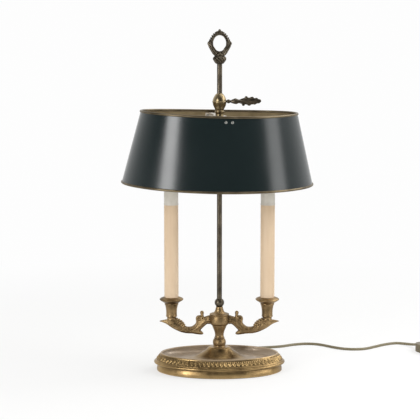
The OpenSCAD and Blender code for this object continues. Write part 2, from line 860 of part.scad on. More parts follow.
module at_tabs() {
    for (side = [0, 1])
        mirror([0, side, 0])
            translate([0, wall_y(-rivet_down), -rivet_down]) rotate([wall_slope, 0, 0]) children();
}

module rivet_rows() {
    for (x = [-rivet_gap / 2, rivet_gap / 2]) translate([x, 0, 0]) rotate([-90, 0, 0]) children();
}

module shade_body() {
    outline = [
        [low_z + roll_r, 0], [top_z - roll_r, 0], [top_z - roll_r, -shade_wall], [low_z + roll_r, -shade_wall]
    ];
    points = [
        for (i = [0:shade_n - 1], p = outline) shade_point(360 * i / shade_n, p[0], p[1])
    ];
    color(green)
        placed_shade()
            difference() {
                polyhedron(points, [for (f = band_faces(shade_n, 4)) [f[0], f[2], f[1]]]);
                at_tabs() rivet_rows() cylinder(r = rivet_r + loose, h = 20, center = true);
            }
}

// A rolled rim: a round bead that closes the wall's edge
seam = 0.06;            // gap between a rim and the wall's edge
module shade_rim(z, up) {
    n = 10;
    points = [
        for (i = [0:shade_n - 1], k = [0:n - 1])
            let (
                t = 360 * i / shade_n,
                c = shade_point(t, z, -shade_wall / 2),
                far = shade_point(t, z, roll_r),
                out = unit([far[0] - c[0], far[1] - c[1], 0])
            )
            c + roll_r / cos(180 / n) * (cos(360 * (k + 0.5) / n) * out
                + sin(360 * (k + 0.5) / n) * [0, 0, 1]) + [0, 0, up]
    ];
    placed_shade() polyhedron(points, [for (f = band_faces(shade_n, n)) [f[0], f[2], f[1]]]);
}

module shade_rim_top() { color(bright_brass) shade_rim(top_z, seam); }
module shade_rim_bottom() { color(bright_brass) shade_rim(low_z, -seam); }

eye_r = 12;

// The eye turns on the holder's tail, and the two arms are brazed to its edge
module spider_bar() {
    reach = wall_y(0) - tab_gap - 0.6;
    color(brass)
        placed_shade() {
            difference() {
                translate([0, 0, -bar_t / 2]) cylinder(r = eye_r, h = bar_t);
                translate([0, 0, -bar_t]) cylinder(r = tail_r + loose, h = 2 * bar_t);
            }
            difference() {
                union() {
                    translate([-bar_w / 2, -reach, -bar_t / 2]) cube([bar_w, 2 * reach, bar_t]);
                    at_tabs()
                        translate([-tab_w / 2, -tab_gap - bar_t, rivet_down - tab_h + bar_t / 2])
                            cube([tab_w, bar_t, tab_h]);
                }
                translate([0, 0, -bar_t]) cylinder(r = eye_r + slip, h = 2 * bar_t);
                at_tabs() rivet_rows() cylinder(r = rivet_r + loose, h = 20, center = true);
            }
        }
}

module spider_rivets() {
    head_r = rivet_r + 1;
    head_h = 1.1;
    color(bright_brass)
        placed_shade()
            at_tabs()
                rivet_rows() {
                    inner = -tab_gap - bar_t - loose;
                    outer = shade_wall + loose;
                    translate([0, 0, inner]) cylinder(r = rivet_r, h = outer - inner);
                    translate([0, 0, outer]) cylinder(r1 = head_r, r2 = rivet_r, h = head_h);
                    translate([0, 0, inner - head_h]) cylinder(r1 = rivet_r, r2 = head_r, h = head_h);
                }
}

// ---- shade holder, lock ring and key ----
shoulder_r = 7.5;
lock_r = 10.5;
shoulder_z = bar_t / 2 + shoulder_r * tan(lean) + slip;
lock_z = -bar_t / 2 - lock_r * tan(lean) - slip;
key_z = 25.5;           // height of the key over the spider
key_seat = urn_r + clear;

// Each radius of the holder, as a share of its largest, at its height share
urn_line = [
    [0.166, 0.586], [0.294, 0.6], [0.34, 0.68], [0.427, 0.805], [0.514, 0.9], [0.558, 0.94],
    [0.6, 0.96], [0.62, 1], [0.66, 1], [0.69, 0.94], [0.775, 0.86], [0.862, 0.742], [0.954, 0.594],
    [1, 0.42]
];

module shade_holder() {
    color(bright_brass)
        translate([0, 0, spider_z])
            difference() {
                turned(concat(
                    [[0, -tail_l], [tail_r, -tail_l], [tail_r, shoulder_z], [shoulder_r, shoulder_z]],
                    [for (p = urn_line) [p[1] * urn_r, p[0] * urn_h]],
                    [[0, urn_h]]
                ));
                translate([0, 0, -tail_l - 1]) cylinder(r = rod_r + slip, h = urn_h + tail_l + 2);
                translate([0, 0, key_z]) rotate([0, 90, 0]) cylinder(r = key_r + slip, h = 2 * urn_r);
            }
}

module lock_ring() {
    color(brass)
        translate([0, 0, spider_z + lock_z])
            rotate([180, 0, 0])
                difference() {
                    cylinder(r = lock_r, h = tail_l + lock_z - 0.2);
                    translate([0, 0, -1]) cylinder(r = tail_r + slip / 2, h = tail_l + 2);
                }
}

leaf_x = 36;            // start of the leaf, from the rod's axis
leaf_edge = [
    [0, 0.24], [0.08, 0.36], [0.14, 0.28], [0.22, 0.72], [0.3, 0.62], [0.42, 1], [0.5, 0.8],
    [0.62, 0.98], [0.7, 0.72], [0.82, 0.74], [0.92, 0.4], [1, 0.08]
];

module key_screw() {
    tip = rod_r + clear;
    bulge_x = 18.2;
    color(dark_brass)
        translate([0, 0, spider_z + key_z]) {
            rotate([0, 90, 0])
                turned([
                    [0, tip], [key_r, tip], [key_r, key_seat], [4.2, key_seat], [4.6, key_seat + 2],
                    [3.6, key_seat + 4], [3.6, bulge_x], [4.6, bulge_x + 2.5], [4.9, bulge_x + 8],
                    [4, bulge_x + 13], [2.8, bulge_x + 16], [2.8, leaf_x + 2], [0, leaf_x + 2]
                ]);
            translate([leaf_x, leaf_t / 2, 0])
                rotate([90, 0, 0])
                    linear_extrude(leaf_t)
                        polygon(concat(
                            [for (p = leaf_edge) [p[0] * leaf_l, p[1] * leaf_w]],
                            [for (i = [len(leaf_edge) - 1:-1:0]) let (p = leaf_edge[i])
                                [p[0] * leaf_l, -p[1] * leaf_w]]
                        ));
        }
}

// ---- the lead on the table ----
lead_route = [
    [0, 106, 5], [8, 122, 2.6], [24, 142, 2.5], [50, 155, 2.5], [84, 162, 2.5], [118, 171, 2.5],
    [146, 187, 2.5], [172, 194, 2.5], [196, 187, 2.5], [222, 163, 2.5], [241, 151, 2.5],
    [260, 148, 2.5], [280, 153, 2.5], [301, 170, 2.5], [322, 188, 2.5], [344, 199, 2.5],
    [361, 194, 2.7], [371, 182, 4.2], [377, 169, 6.8]
];
switch_at = [382, 156];
switch_turn = -68;
switch_end = switch_at + switch_l * [cos(switch_turn), sin(switch_turn)];
switch_mid = switch_h / 2;

switch_dir = [cos(switch_turn), sin(switch_turn), 0];
lead_in = 4;            // how far the lead reaches into each end of the switch
lead_straight = 6;      // how far it runs straight outside the switch

module cord_lead() {
    start = [0, outlet_y, outlet_z];
    end = [switch_at[0], switch_at[1], switch_mid];
    path = smooth(concat(
        [start], lead_route, [end - lead_straight * switch_dir, end, end + lead_in * switch_dir]
    ), 2);
    color(lead_brown) swept_tube(path, cord_r, [0, 0, 1], 8, [0, 1, 0], switch_dir);
}

// ---- inline switch: local X along the lead, from the end that faces the lamp ----
module at_switch() {
    translate([switch_at[0], switch_at[1], 0]) rotate([0, 0, switch_turn]) children();
}

screw_x = [10, switch_l - 10];
screw_y = 6.5;
screw_r = 1.4;
split_z = switch_h / 2;

module switch_plan(inset, h) {
    r = switch_w / 2 - inset;
    translate([switch_w / 2, 0, 0]) cylinder(r = r, h = h);
    translate([switch_l - switch_w / 2, 0, 0]) cylinder(r = r, h = h);
    translate([switch_w / 2, -r, 0]) cube([switch_l - switch_w, 2 * r, h]);
}

module switch_shell() {
    difference() {
        switch_plan(0, split_z);
        translate([0, 0, switch_wall]) switch_plan(switch_wall, split_z);
        translate([-1, 0, switch_mid]) rotate([0, 90, 0]) cylinder(r = cord_r + slip, h = switch_l + 2);
    }
    for (i = [0, 1])
        translate([screw_x[i], (i * 2 - 1) * screw_y, 0]) cylinder(r = screw_r + 1.6, h = split_z);
}

module switch_lower() {
    color(lead_brown)
        at_switch()
            difference() {
                switch_shell();
                for (i = [0, 1])
                    translate([screw_x[i], (i * 2 - 1) * screw_y, -1]) {
                        cylinder(r = screw_r + slip, h = switch_h);
                        cylinder(r = screw_r + 1 + slip, h = 3);
                    }
            }
}

pivot_z = switch_h - 2.6;
rocker_tilt = 8;        // the rocker rests this far to one side, in degrees

module switch_upper() {
    color(lead_brown)
        at_switch()
            difference() {
                union() {
                    translate([0, 0, switch_h]) mirror([0, 0, 1]) switch_shell();
                    for (y = [-1, 1])
                        translate([switch_l / 2 - 3, y * (rocker_w / 2 + 1.5) - 1.2, pivot_z - 2.4])
                            cube([6, 2.4, switch_h - pivot_z + 2]);
                }
                for (i = [0, 1])
                    translate([screw_x[i], (i * 2 - 1) * screw_y, -1]) cylinder(r = screw_r + slip, h = switch_h - 1);
                translate([switch_l / 2 - rocker_l / 2 - clear, -rocker_w / 2 - clear, split_z - 1])
                    cube([rocker_l + 2 * clear, rocker_w + 2 * clear, switch_h]);
                translate([switch_l / 2, 0, pivot_z])
                    rotate([90, 0, 0]) cylinder(r = pivot_r + slip, h = rocker_w + 4, center = true);
            }
}

module switch_rocker() {
    crown = 3;          // how far the rocker's ends stand above its pivot
    color("#54482f")
        at_switch()
            translate([switch_l / 2, 0, pivot_z])
                rotate([90, 0, 0]) rotate([0, 0, rocker_tilt]) {
                    linear_extrude(rocker_w, center = true)
                        polygon([
                            [-rocker_l / 2 + 0.6, 1.2], [-rocker_l / 2 + 0.9, crown + 1.4], [-2, crown],
                            [2, crown], [rocker_l / 2 - 0.9, crown + 1.4], [rocker_l / 2 - 0.6, 1.2],
                            [3, -2.4], [-3, -2.4]
                        ]);
                    cylinder(r = pivot_r, h = rocker_w + 3.4, center = true);
                }
}

module switch_contacts() {
    color(bright_brass)
        at_switch()
            for (x = [switch_l / 2 - 5.5, switch_l / 2 + 3.5])
                translate([x, -2.5, switch_wall]) cube([2, 5, 5]);
}

module switch_screws() {
    color(steel)
        at_switch()
            for (i = [0, 1])
                translate([screw_x[i], (i * 2 - 1) * screw_y, 0.4]) {
                    cylinder(r = screw_r + 1, h = 1.6);
                    cylinder(r = screw_r, h = switch_h - 4);
                }
}

// ---- the coil that the rest of the lead is put away in ----
coil_at = [456, 44];
coil_pitch = 5.6;
coil_turns = 6;
coil_in = 20.2;
coil_rings = 24;        // rings in each turn
coil_low = 3.6;         // height of the lower layer's middle: it lies on the tie
coil_lift = 5.5;
coil_out = coil_in + coil_pitch * coil_turns / 2;
climb = 0.5;            // part of a turn in which the lead climbs to the upper layer

function ease(x) = x * x * (3 - 2 * x);
function coil_z(t) = coil_low + coil_lift * ease(min(1, max(0, (t - (coil_turns - climb) / 2) / climb)));
function coil_point(t) =
    let (r = coil_in + coil_pitch * abs(t - coil_turns / 2), a = 180 + 360 * t)
    [coil_at[0] + r * cos(a), coil_at[1] + r * sin(a), coil_z(t)];

coil_path = [for (i = [0:coil_rings * coil_turns]) coil_point(i / coil_rings)];
coil_start = coil_path[0] + [0, 2 * cord_r, 0];
coil_finish = coil_path[len(coil_path) - 1] - [0, 2 * cord_r, 0];
coil_side = cord_r;

coil_gap = min([
    for (i = [0:len(coil_path) - 1], j = [0:len(coil_path) - 1])
        if (j - i > coil_rings / 2) norm(coil_path[i] - coil_path[j]) - 2 * coil_side
]);
echo(coil_least_gap = coil_gap);

module cord_coil() {
    path = concat([coil_start], coil_path, [coil_finish]);
    color(lead_brown) swept_tube(path, coil_side, [0, 0, 1], 6, [0, -1, 0], [0, -1, 0]);
}

module cord_feed() {
    start = [switch_end[0], switch_end[1], switch_mid];
    path = smooth([
        start - lead_in * switch_dir, start, start + lead_straight * switch_dir,
        [412.5, 79, 5.6], [417, 64, 4], coil_start
    ], 2);
    color(lead_brown) swept_tube(path, cord_r, [0, 0, 1], 8, switch_dir, [0, -1, 0]);
}

tie_t = 0.8;
tie_w = 10;

module cord_tie() {
    x0 = coil_in - 0.9;
    x1 = coil_out + 0.3;
    z1 = coil_low + coil_lift + cord_r + 0.3;
    color("#2c2a26")
        translate([coil_at[0], coil_at[1] - tie_w / 2, 0])
            difference() {
                translate([x0 - tie_t, 0, 0]) cube([x1 - x0 + 2 * tie_t, tie_w, z1 + tie_t]);
                translate([x0, -1, tie_t]) cube([x1 - x0, tie_w + 2, z1 - tie_t]);
            }
}

plug_at = [coil_at[0] - coil_out + 3, -2];
plug_relief_l = 28;
plug_mid = plug_t / 2;

module at_plug() {
    translate([plug_at[0], plug_at[1], 0]) rotate([0, 0, -90]) children();
}

module cord_tail() {
    end = [plug_at[0], plug_at[1], plug_mid];
    path = smooth([coil_finish, coil_finish + [0.6, -12, -1.2], end + [-0.6, 11, 0], end], 3);
    color(lead_brown) swept_tube(path, cord_r, [0, 0, 1], 8, [0, -1, 0], [0, -1, 0]);
}

module plug_relief() {
    color("#4a4030")
        at_plug()
            translate([0, 0, plug_mid])
                rotate([0, 90, 0]) cylinder(r1 = cord_r + 0.8, r2 = plug_t / 2 - 2, h = plug_relief_l);
}

module plug_body() {
    waist = 16;
    color("#4a4030")
        at_plug()
            translate([plug_relief_l, 0, 0])
                linear_extrude(plug_t)
                    polygon([
                        [0, -waist / 2], [plug_l * 0.3, -waist / 2 - 1], [plug_l * 0.72, -plug_w / 2],
                        [plug_l, -plug_w / 2], [plug_l, plug_w / 2], [plug_l * 0.72, plug_w / 2],
                        [plug_l * 0.3, waist / 2 + 1], [0, waist / 2]
                    ]);
}

module plug_pins() {
    color(steel)
        at_plug()
            for (y = [-pin_gap / 2, pin_gap / 2])
                translate([plug_relief_l + plug_l, y, plug_mid]) rotate([0, 90, 0]) cylinder(r = pin_r, h = pin_l);
}

base_casting();
felt_pad();
cover_plate();
base_washer();
base_nut();
tie_tube();
cord_relief();
stem_baluster();
hub();
hub_nut();
hub_cap();
rod_collar();
rod();
finial_knot();
ring_handle();
arm_left();
arm_right();
arm_nuts();
cup_left();
cup_right();
drip_pan_left();
drip_pan_right();
pan_nuts();
candle_tube_left();
candle_tube_right();
candle_left();
candle_right();
lampholder_left();
lampholder_right();
screw_shells();
holder_contacts();
bulb_glass_left();
bulb_glass_right();
bulb_cap_left();
bulb_cap_right();
cord_inner();
wire_joint();
wire_left();
wire_right();
shade_body();
shade_rim_top();
shade_rim_bottom();
spider_bar();
spider_rivets();
shade_holder();
lock_ring();
key_screw();
cord_lead();
switch_lower();
switch_upper();
switch_rocker();
switch_contacts();
switch_screws();
cord_feed();
cord_coil();
cord_tie();
cord_tail();
plug_relief();
plug_body();
plug_pins();
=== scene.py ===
"""Looks of a two-light bouillotte lamp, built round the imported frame.

Lengths are millimetres until a mesh is made."""
import json
import math

import bmesh
import bpy
from mathutils import Matrix, Vector


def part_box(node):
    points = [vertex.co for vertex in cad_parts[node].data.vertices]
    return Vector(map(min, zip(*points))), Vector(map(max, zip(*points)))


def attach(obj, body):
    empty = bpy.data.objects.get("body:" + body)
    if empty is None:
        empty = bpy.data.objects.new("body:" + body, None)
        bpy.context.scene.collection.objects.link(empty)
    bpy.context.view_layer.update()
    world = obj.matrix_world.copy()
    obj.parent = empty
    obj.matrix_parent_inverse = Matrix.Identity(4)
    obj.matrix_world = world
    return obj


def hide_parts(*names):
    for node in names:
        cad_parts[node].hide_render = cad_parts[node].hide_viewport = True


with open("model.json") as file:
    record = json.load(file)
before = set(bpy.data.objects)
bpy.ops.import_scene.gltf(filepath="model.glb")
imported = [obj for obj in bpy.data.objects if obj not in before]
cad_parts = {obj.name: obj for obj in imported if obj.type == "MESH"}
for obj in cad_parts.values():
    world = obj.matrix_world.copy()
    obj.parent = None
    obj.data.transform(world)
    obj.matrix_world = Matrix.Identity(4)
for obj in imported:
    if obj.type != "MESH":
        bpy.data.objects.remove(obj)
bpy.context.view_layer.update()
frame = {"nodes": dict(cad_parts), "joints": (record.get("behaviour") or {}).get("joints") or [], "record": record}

MM = 0.001
UP = Vector((0, 0, 1))
BACK = Vector((0, 1, 0))
FLAT = Vector((1, 1, 0))  # keeps the level part of what it multiplies


# ---- the frame's sizes ----
def span(node):
    """The lowest and highest corners of a CAD node, in millimetres."""
    low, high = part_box(node)
    return Vector(low) / MM, Vector(high) / MM


def joint_point(name):
    joint = next(j for j in frame["joints"] if j["name"] == name)
    return Vector(joint["pos_m"]) / MM


# ---- shapes ----
def unit(value):
    """The value, kept from 0 to 1."""
    return min(1.0, max(0.0, value))


def turn_by(degrees, axis):
    return Matrix.Rotation(math.radians(degrees), 4, axis)


def round_angles(count):
    return [2 * math.pi * k / count for k in range(count)]


def smooth(points, steps):
    """A Catmull-Rom curve through the points, with steps between each two."""
    points = [Vector(p) for p in points]
    last = len(points) - 1
    curve = []
    for i in range(last):
        a, b, c, d = points[max(0, i - 1)], points[i], points[i + 1], points[min(last, i + 2)]
        for j in range(steps):
            t = j / steps
            curve.append(0.5 * (2 * b + (c - a) * t + (2 * a - 5 * b + 4 * c - d) * t * t
                                + (3 * b - a - 3 * c + d) * t ** 3))
    return curve + [points[-1]]


def grid(rows, loop_rows=False, caps=False):
    """Vertices and faces of a sheet of points, each row a ring. The last row may join the first."""
    m, n = len(rows), len(rows[0])
    faces = [
        (i * n + j, i * n + (j + 1) % n, (i + 1) % m * n + (j + 1) % n, (i + 1) % m * n + j)
        for i in range(m if loop_rows else m - 1) for j in range(n)
    ]
    if caps:
        faces += [tuple(range(n)), tuple(range((m - 1) * n, m * n))]
    return [p for row in rows for p in row], faces


def lathe(outline, steps=96, closed=False):
    """A turned form from its (radius, height) outline. A radius of 0 closes it."""
    around = round_angles(steps)
    rows = [[Vector((r * math.cos(t), r * math.sin(t), z)) for t in around] for r, z in outline]
    return grid(rows, loop_rows=closed)


def moved(shape, matrix):
    verts, faces = shape
    return [matrix @ Vector(v) for v in verts], faces


def joined(*shapes):
    verts, faces = [], []
    for more, more_faces in shapes:
        faces += [tuple(i + len(verts) for i in face) for face in more_faces]
        verts += more
    return verts, faces


def mesh_of(name, shape, crease=35):
    """A mesh in metres, with its normals outward and edges sharper than crease degrees kept sharp."""
    verts, faces = shape
    mesh = bpy.data.meshes.new(name)
    mesh.from_pydata([Vector(v) * MM for v in verts], [], faces)
    bm = bmesh.new()
    bm.from_mesh(mesh)
    bmesh.ops.remove_doubles(bm, verts=bm.verts, dist=1e-6)
    bmesh.ops.dissolve_degenerate(bm, edges=bm.edges, dist=1e-7)
    bmesh.ops.recalc_face_normals(bm, faces=bm.faces)
    bm.to_mesh(mesh)
    bm.free()
    mesh.shade_smooth()
    mesh.set_sharp_from_angle(angle=math.radians(crease))
    return mesh


def placed(name, data):
    obj = bpy.data.objects.new(name, data)
    bpy.context.scene.collection.objects.link(obj)
    return obj


def applied(obj, name):
    """The mesh that an object's modifiers make. The object itself goes."""
    mesh = bpy.data.meshes.new_from_object(obj.evaluated_get(bpy.context.evaluated_depsgraph_get()))
    bpy.data.objects.remove(obj)
    mesh.name = name
    return mesh


def show(name, data, body, slot, *stands_for, paint=None):
    """Puts a mesh or curve in the scene on a body, for the nodes it replaces.

    slot is the record's finish, and paint the name of this scene's own where it is another."""
    obj = placed(name, data)
    if not data.materials:
        data.materials.append(PAINTS[paint or slot])
    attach(obj, body)
    if stands_for:
        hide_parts(*stands_for)
    return obj


def piece(name, shape, body, slot, *stands_for, crease=35):
    return show(name, mesh_of(name, shape, crease), body, slot, *stands_for)


# ---- finishes ----
def new_material(name):
    material = bpy.data.materials.new(name)
    material.use_nodes = True
    tree = material.node_tree
    return material, tree, tree.nodes["Principled BSDF"]


def noise(tree, scale, detail=4.0, stretch=(1, 1, 1)):
    """A noise's factor, on the object's own coordinates, in cells per metre."""
    place = tree.nodes.new("ShaderNodeTexCoord")
    mapping = tree.nodes.new("ShaderNodeMapping")
    mapping.inputs["Scale"].default_value = stretch
    texture = tree.nodes.new("ShaderNodeTexNoise")
    texture.inputs["Scale"].default_value = scale
    texture.inputs["Detail"].default_value = detail
    tree.links.new(place.outputs["Object"], mapping.inputs["Vector"])
    tree.links.new(mapping.outputs["Vector"], texture.inputs["Vector"])
    return texture.outputs["Fac"]


def ramp(tree, source, stops):
    node = tree.nodes.new("ShaderNodeValToRGB")
    elements = node.color_ramp.elements
    while len(elements) < len(stops):
        elements.new(0.5)
    for element, (place, colour) in zip(elements, stops):
        element.position = place
        element.color = (*colour, 1)
    tree.links.new(source, node.inputs["Fac"])
    return node.outputs["Color"]


def mix(tree, factor, a, b):
    """Colour a where the factor is 0 and b where it is 1."""
    node = tree.nodes.new("ShaderNodeMix")
    node.data_type = "RGBA"
    for socket, value in ((node.inputs[0], factor), (node.inputs[6], a), (node.inputs[7], b)):
        if isinstance(value, bpy.types.NodeSocket):
            tree.links.new(value, socket)
        elif isinstance(value, (tuple, list)):
            socket.default_value = (*value, 1)
        else:
            socket.default_value = value
    return node.outputs[2]


def ranged(tree, source, start, end, low, high, kind="LINEAR"):
    """The source, where it runs from start to end, made to run from low to high."""
    node = tree.nodes.new("ShaderNodeMapRange")
    node.interpolation_type = kind
    for name, value in (("From Min", start), ("From Max", end), ("To Min", low), ("To Max", high)):
        node.inputs[name].default_value = value
    tree.links.new(source, node.inputs["Value"])
    return node.outputs["Result"]


def spread(tree, source, low, high):
    """A noise's middle values stretched to run from low to high."""
    return ranged(tree, source, 0.3, 0.7, low, high)


def marked(tree, name):
    """A value that a mesh carries at its vertices, 0 where it has none."""
    mark = tree.nodes.new("ShaderNodeAttribute")
    mark.attribute_name = name
    return mark.outputs["Fac"]


def math_node(tree, operation, *values):
    node = tree.nodes.new("ShaderNodeMath")
    node.operation = operation
    for socket, value in zip(node.inputs, values):
        if isinstance(value, bpy.types.NodeSocket):
            tree.links.new(value, socket)
        else:
            socket.default_value = value
    return node.outputs[0]


def roughen(tree, shader, source, strength, distance_mm):
    bump = tree.nodes.new("ShaderNodeBump")
    bump.inputs["Strength"].default_value = strength
    bump.inputs["Distance"].default_value = distance_mm * MM
    tree.links.new(source, bump.inputs["Height"])
    tree.links.new(bump.outputs["Normal"], shader.inputs["Normal"])


PATINA, SPECK, SHEEN, GRAIN = 45, 700, 120, 500  # a brass's mottling, in cells per metre
# Hollows are darkened as patina and painted shade, crests lightened as wear and painted highlight.
HOLLOW_PATINA_SHADE, CREST_WEAR_HIGHLIGHT = 0.35, 1.45  # shares of the darkest colour in hollows and the brightest on crests
LEVEL = (0.93, 0.995)  # upward parts of a normal at which dust begins and is full
LEVEL_DUST = 0.6  # dust on level faces, as a share of that where it is marked
DUST = (0.4, 0.325, 0.25)


def brass(name, deep, body, bright, rough, specks=0.35, dusty=0.0):
    """Brass with an uneven patina: brown where it has darkened, golden where hands have kept it clean.

    dusty is how dull the dust makes it, where it lies level or where the mesh is marked with dust."""
    material, tree, shader = new_material(name)
    colour = ramp(tree, noise(tree, PATINA, 5), [(0.3, deep), (0.5, body), (0.72, bright)])
    dots = ramp(tree, noise(tree, SPECK, 3), [(0.56, (0, 0, 0)), (0.72, (specks,) * 3)])
    colour = mix(tree, dots, colour, deep)
    # Painted shade in hollows, which also stands for patina.
    colour = mix(tree, marked(tree, "hollow"), colour, tuple(HOLLOW_PATINA_SHADE * c for c in deep))
    # Painted highlight on crests, which also stands for wear.
    colour = mix(tree, marked(tree, "crest"), colour, tuple(min(1, CREST_WEAR_HIGHLIGHT * c) for c in bright))
    if dusty:
        facing = tree.nodes.new("ShaderNodeSeparateXYZ")
        tree.links.new(tree.nodes.new("ShaderNodeNewGeometry").outputs["Normal"], facing.inputs[0])
        level = ranged(tree, facing.outputs["Z"], *LEVEL, 0.0, LEVEL_DUST * dusty, "SMOOTHSTEP")
        here = math_node(tree, "MULTIPLY", marked(tree, "dust"), dusty)
        dust = math_node(tree, "MAXIMUM", level, here)
        colour = mix(tree, dust, colour, DUST)
        tree.links.new(math_node(tree, "SUBTRACT", 1.0, dust), shader.inputs["Metallic"])
    else:
        shader.inputs["Metallic"].default_value = 1.0
    tree.links.new(colour, shader.inputs["Base Color"])
    tree.links.new(spread(tree, noise(tree, SHEEN), rough - 0.06, rough + 0.08),
              shader.inputs["Roughness"])
    roughen(tree, shader, noise(tree, GRAIN), 0.12, 0.25)
    return material


def plain(name, low, high, rough, scale=200, bump=0.1, bump_mm=0.2, stretch=(1, 1, 1), **shader_values):
    """A finish between two near colours, with a fine uneven surface. scale is in cells per metre."""
    material, tree, shader = new_material(name)
    tree.links.new(ramp(tree, noise(tree, scale, 4, stretch), [(0.35, low), (0.65, high)]),
              shader.inputs["Base Color"])
    tree.links.new(spread(tree, noise(tree, scale * 0.7, 3), rough - 0.05, rough + 0.06),
              shader.inputs["Roughness"])
    for socket, value in shader_values.items():
        shader.inputs[socket.replace("_", " ")].default_value = value
    roughen(tree, shader, noise(tree, scale * 5, 4, stretch), bump, bump_mm)
    return material


# Each brass: its colour in the dark, on the body and where it is rubbed, its roughness and its specks
BRASSES = {
    "aged_brass": ((0.13, 0.085, 0.038), (0.275, 0.182, 0.082), (0.43, 0.295, 0.13), 0.34, 0.35, 0.72),
    "satin_brass": ((0.14, 0.094, 0.045), (0.285, 0.193, 0.096), (0.42, 0.295, 0.15), 0.45, 0.2),
    # Pale brass for the spider, lightened partly to paint the highlight it catches.
    "pale_highlight_brass": ((0.5, 0.45, 0.38), (0.64, 0.58, 0.49), (0.76, 0.7, 0.6), 0.3, 0.1),
    "dark_brass": ((0.036, 0.03, 0.0235), (0.091, 0.076, 0.055), (0.15, 0.123, 0.088), 0.38),
    "bright_brass": ((0.2, 0.15, 0.085), (0.29, 0.225, 0.125), (0.37, 0.295, 0.175), 0.31, 0.1),
    "rim_brass": ((0.08, 0.062, 0.038), (0.14, 0.11, 0.068), (0.2, 0.16, 0.1), 0.36),
}
# Each plain finish: its two colours and its roughness, and what else it says
PLAINS = {
    "rivet_metal": ((0.3, 0.3, 0.28), (0.4, 0.4, 0.37), 0.42, {"Metallic": 1.0}),
    "shade_inside": ((0.24, 0.185, 0.1), (0.31, 0.24, 0.135), 0.45, {"scale": 60, "Metallic": 0.6}),
    "steel": ((0.3, 0.29, 0.28), (0.45, 0.44, 0.42), 0.35, {"Metallic": 1.0}),
    "shade_paint": ((0.0066, 0.0125, 0.013), (0.0076, 0.0142, 0.0148), 0.2,
                    {"scale": 8, "bump": 0.01, "bump_mm": 0.05, "Specular_IOR_Level": 0.66}),
    "felt": ((0.03, 0.028, 0.016), (0.05, 0.046, 0.028), 0.95, {"scale": 900, "bump": 0.6, "bump_mm": 0.4}),
    "candle_card": ((0.58, 0.43, 0.285), (0.64, 0.49, 0.335), 0.5,
                    {"scale": 25, "stretch": (3, 3, 0.35), "bump": 0.08, "bump_mm": 0.15}),
    "holder_white": ((0.5, 0.47, 0.41), (0.56, 0.53, 0.47), 0.4, {"scale": 80}),
    "bulb_glass": ((0.8, 0.78, 0.72), (0.86, 0.84, 0.78), 0.12, {"scale": 30, "bump": 0.02}),
    "wire_cover": ((0.42, 0.34, 0.22), (0.5, 0.41, 0.27), 0.5, {}),
    "lead_cover": ((0.15, 0.125, 0.065), (0.21, 0.175, 0.1), 0.42, {"scale": 500}),
    "switch_plastic": ((0.115, 0.09, 0.045), (0.135, 0.105, 0.055), 0.38,
                       {"scale": 400, "bump": 0.15, "bump_mm": 0.1}),
    "plug_plastic": ((0.1, 0.08, 0.042), (0.12, 0.095, 0.05), 0.42,
                     {"scale": 400, "bump": 0.15, "bump_mm": 0.1}),
}
PAINTS = {name: brass(name, *values) for name, values in BRASSES.items()}
for name, (low, high, rough, more) in PLAINS.items():
    PAINTS[name] = plain(name, low, high, rough, **more)


def finish_cad_nodes():
    """Gives every CAD node the finish of its slot in the record."""
    for part in frame["record"]["subparts"]:
        materials = frame["nodes"][part["node"]].data.materials
        materials.clear()
        materials.append(PAINTS[part["material_slot"]])


finish_cad_nodes()


# ---- the lead ----
CORD_D = 5.0
LEAD_ROUTE = [
    (0, 106, 5), (8, 122, 2.6), (24, 142, 2.5), (50, 155, 2.5), (84, 162, 2.5), (118, 171, 2.5),
    (146, 187, 2.5), (172, 194, 2.5), (196, 187, 2.5), (222, 163, 2.5), (241, 151, 2.5),
    (260, 148, 2.5), (280, 153, 2.5), (301, 170, 2.5), (322, 188, 2.5), (344, 199, 2.5),
    (361, 194, 2.7), (371, 182, 4.2), (377, 169, 6.8),
]
OUTLET = Vector((0, 94, 8))  # tip of the strain relief
SWITCH_AT = Vector((382, 156, 7.5))  # the switch's end that faces the lamp
SWITCH_TURN = math.radians(-68)
SWITCH_DIR = Vector((math.cos(SWITCH_TURN), math.sin(SWITCH_TURN), 0))
SWITCH_L = 64
SWITCH_END = SWITCH_AT + SWITCH_L * SWITCH_DIR
LEAD_IN = 4  # how far the lead reaches into each end of the switch
STRAIGHT = 6  # how far it runs straight outside the switch
FEED_ROUTE = [(412.5, 79, 5.6), (417, 64, 4)]
COIL_AT = Vector((456, 44, 0))
COIL_IN = 20.2  # radius of the innermost turn
COIL_PITCH = 5.6
COIL_TURNS = 6
COIL_RINGS = 24  # points in each turn
COIL_LOW = 3.6  # height of the lower layer's middle
COIL_LIFT = 5.5  # height of the upper layer over it
CLIMB = 0.5  # part of a turn in which the lead climbs to the upper layer
PLUG_AT = Vector((422, -2, 6.85))  # where the lead goes into the plug's relief


def coil_point(turn):
    """The lead's middle after so many turns: in on the lower layer, then out on the upper one."""
    radius = COIL_IN + COIL_PITCH * abs(turn - COIL_TURNS / 2)
    angle = math.pi * (1 + 2 * turn)
    share = unit((turn - (COIL_TURNS - CLIMB) / 2) / CLIMB)
    lift = COIL_LIFT * share * share * (3 - 2 * share)
    return COIL_AT + Vector((radius * math.cos(angle), radius * math.sin(angle), COIL_LOW + lift))


def lead_curve(name, path, *stands_for):
    """A round lead along the path, as one open spline."""
    curve = bpy.data.curves.new(name, "CURVE")
    curve.dimensions = "3D"
    curve.bevel_depth = CORD_D / 2 * MM
    curve.bevel_resolution = 5
    curve.use_fill_caps = True
    spline = curve.splines.new("POLY")
    spline.points.add(len(path) - 1)
    for point, place in zip(spline.points, path):
        point.co = (*(place * MM), 1)
    return show(name, curve, "stand", "lead_cover", *stands_for)


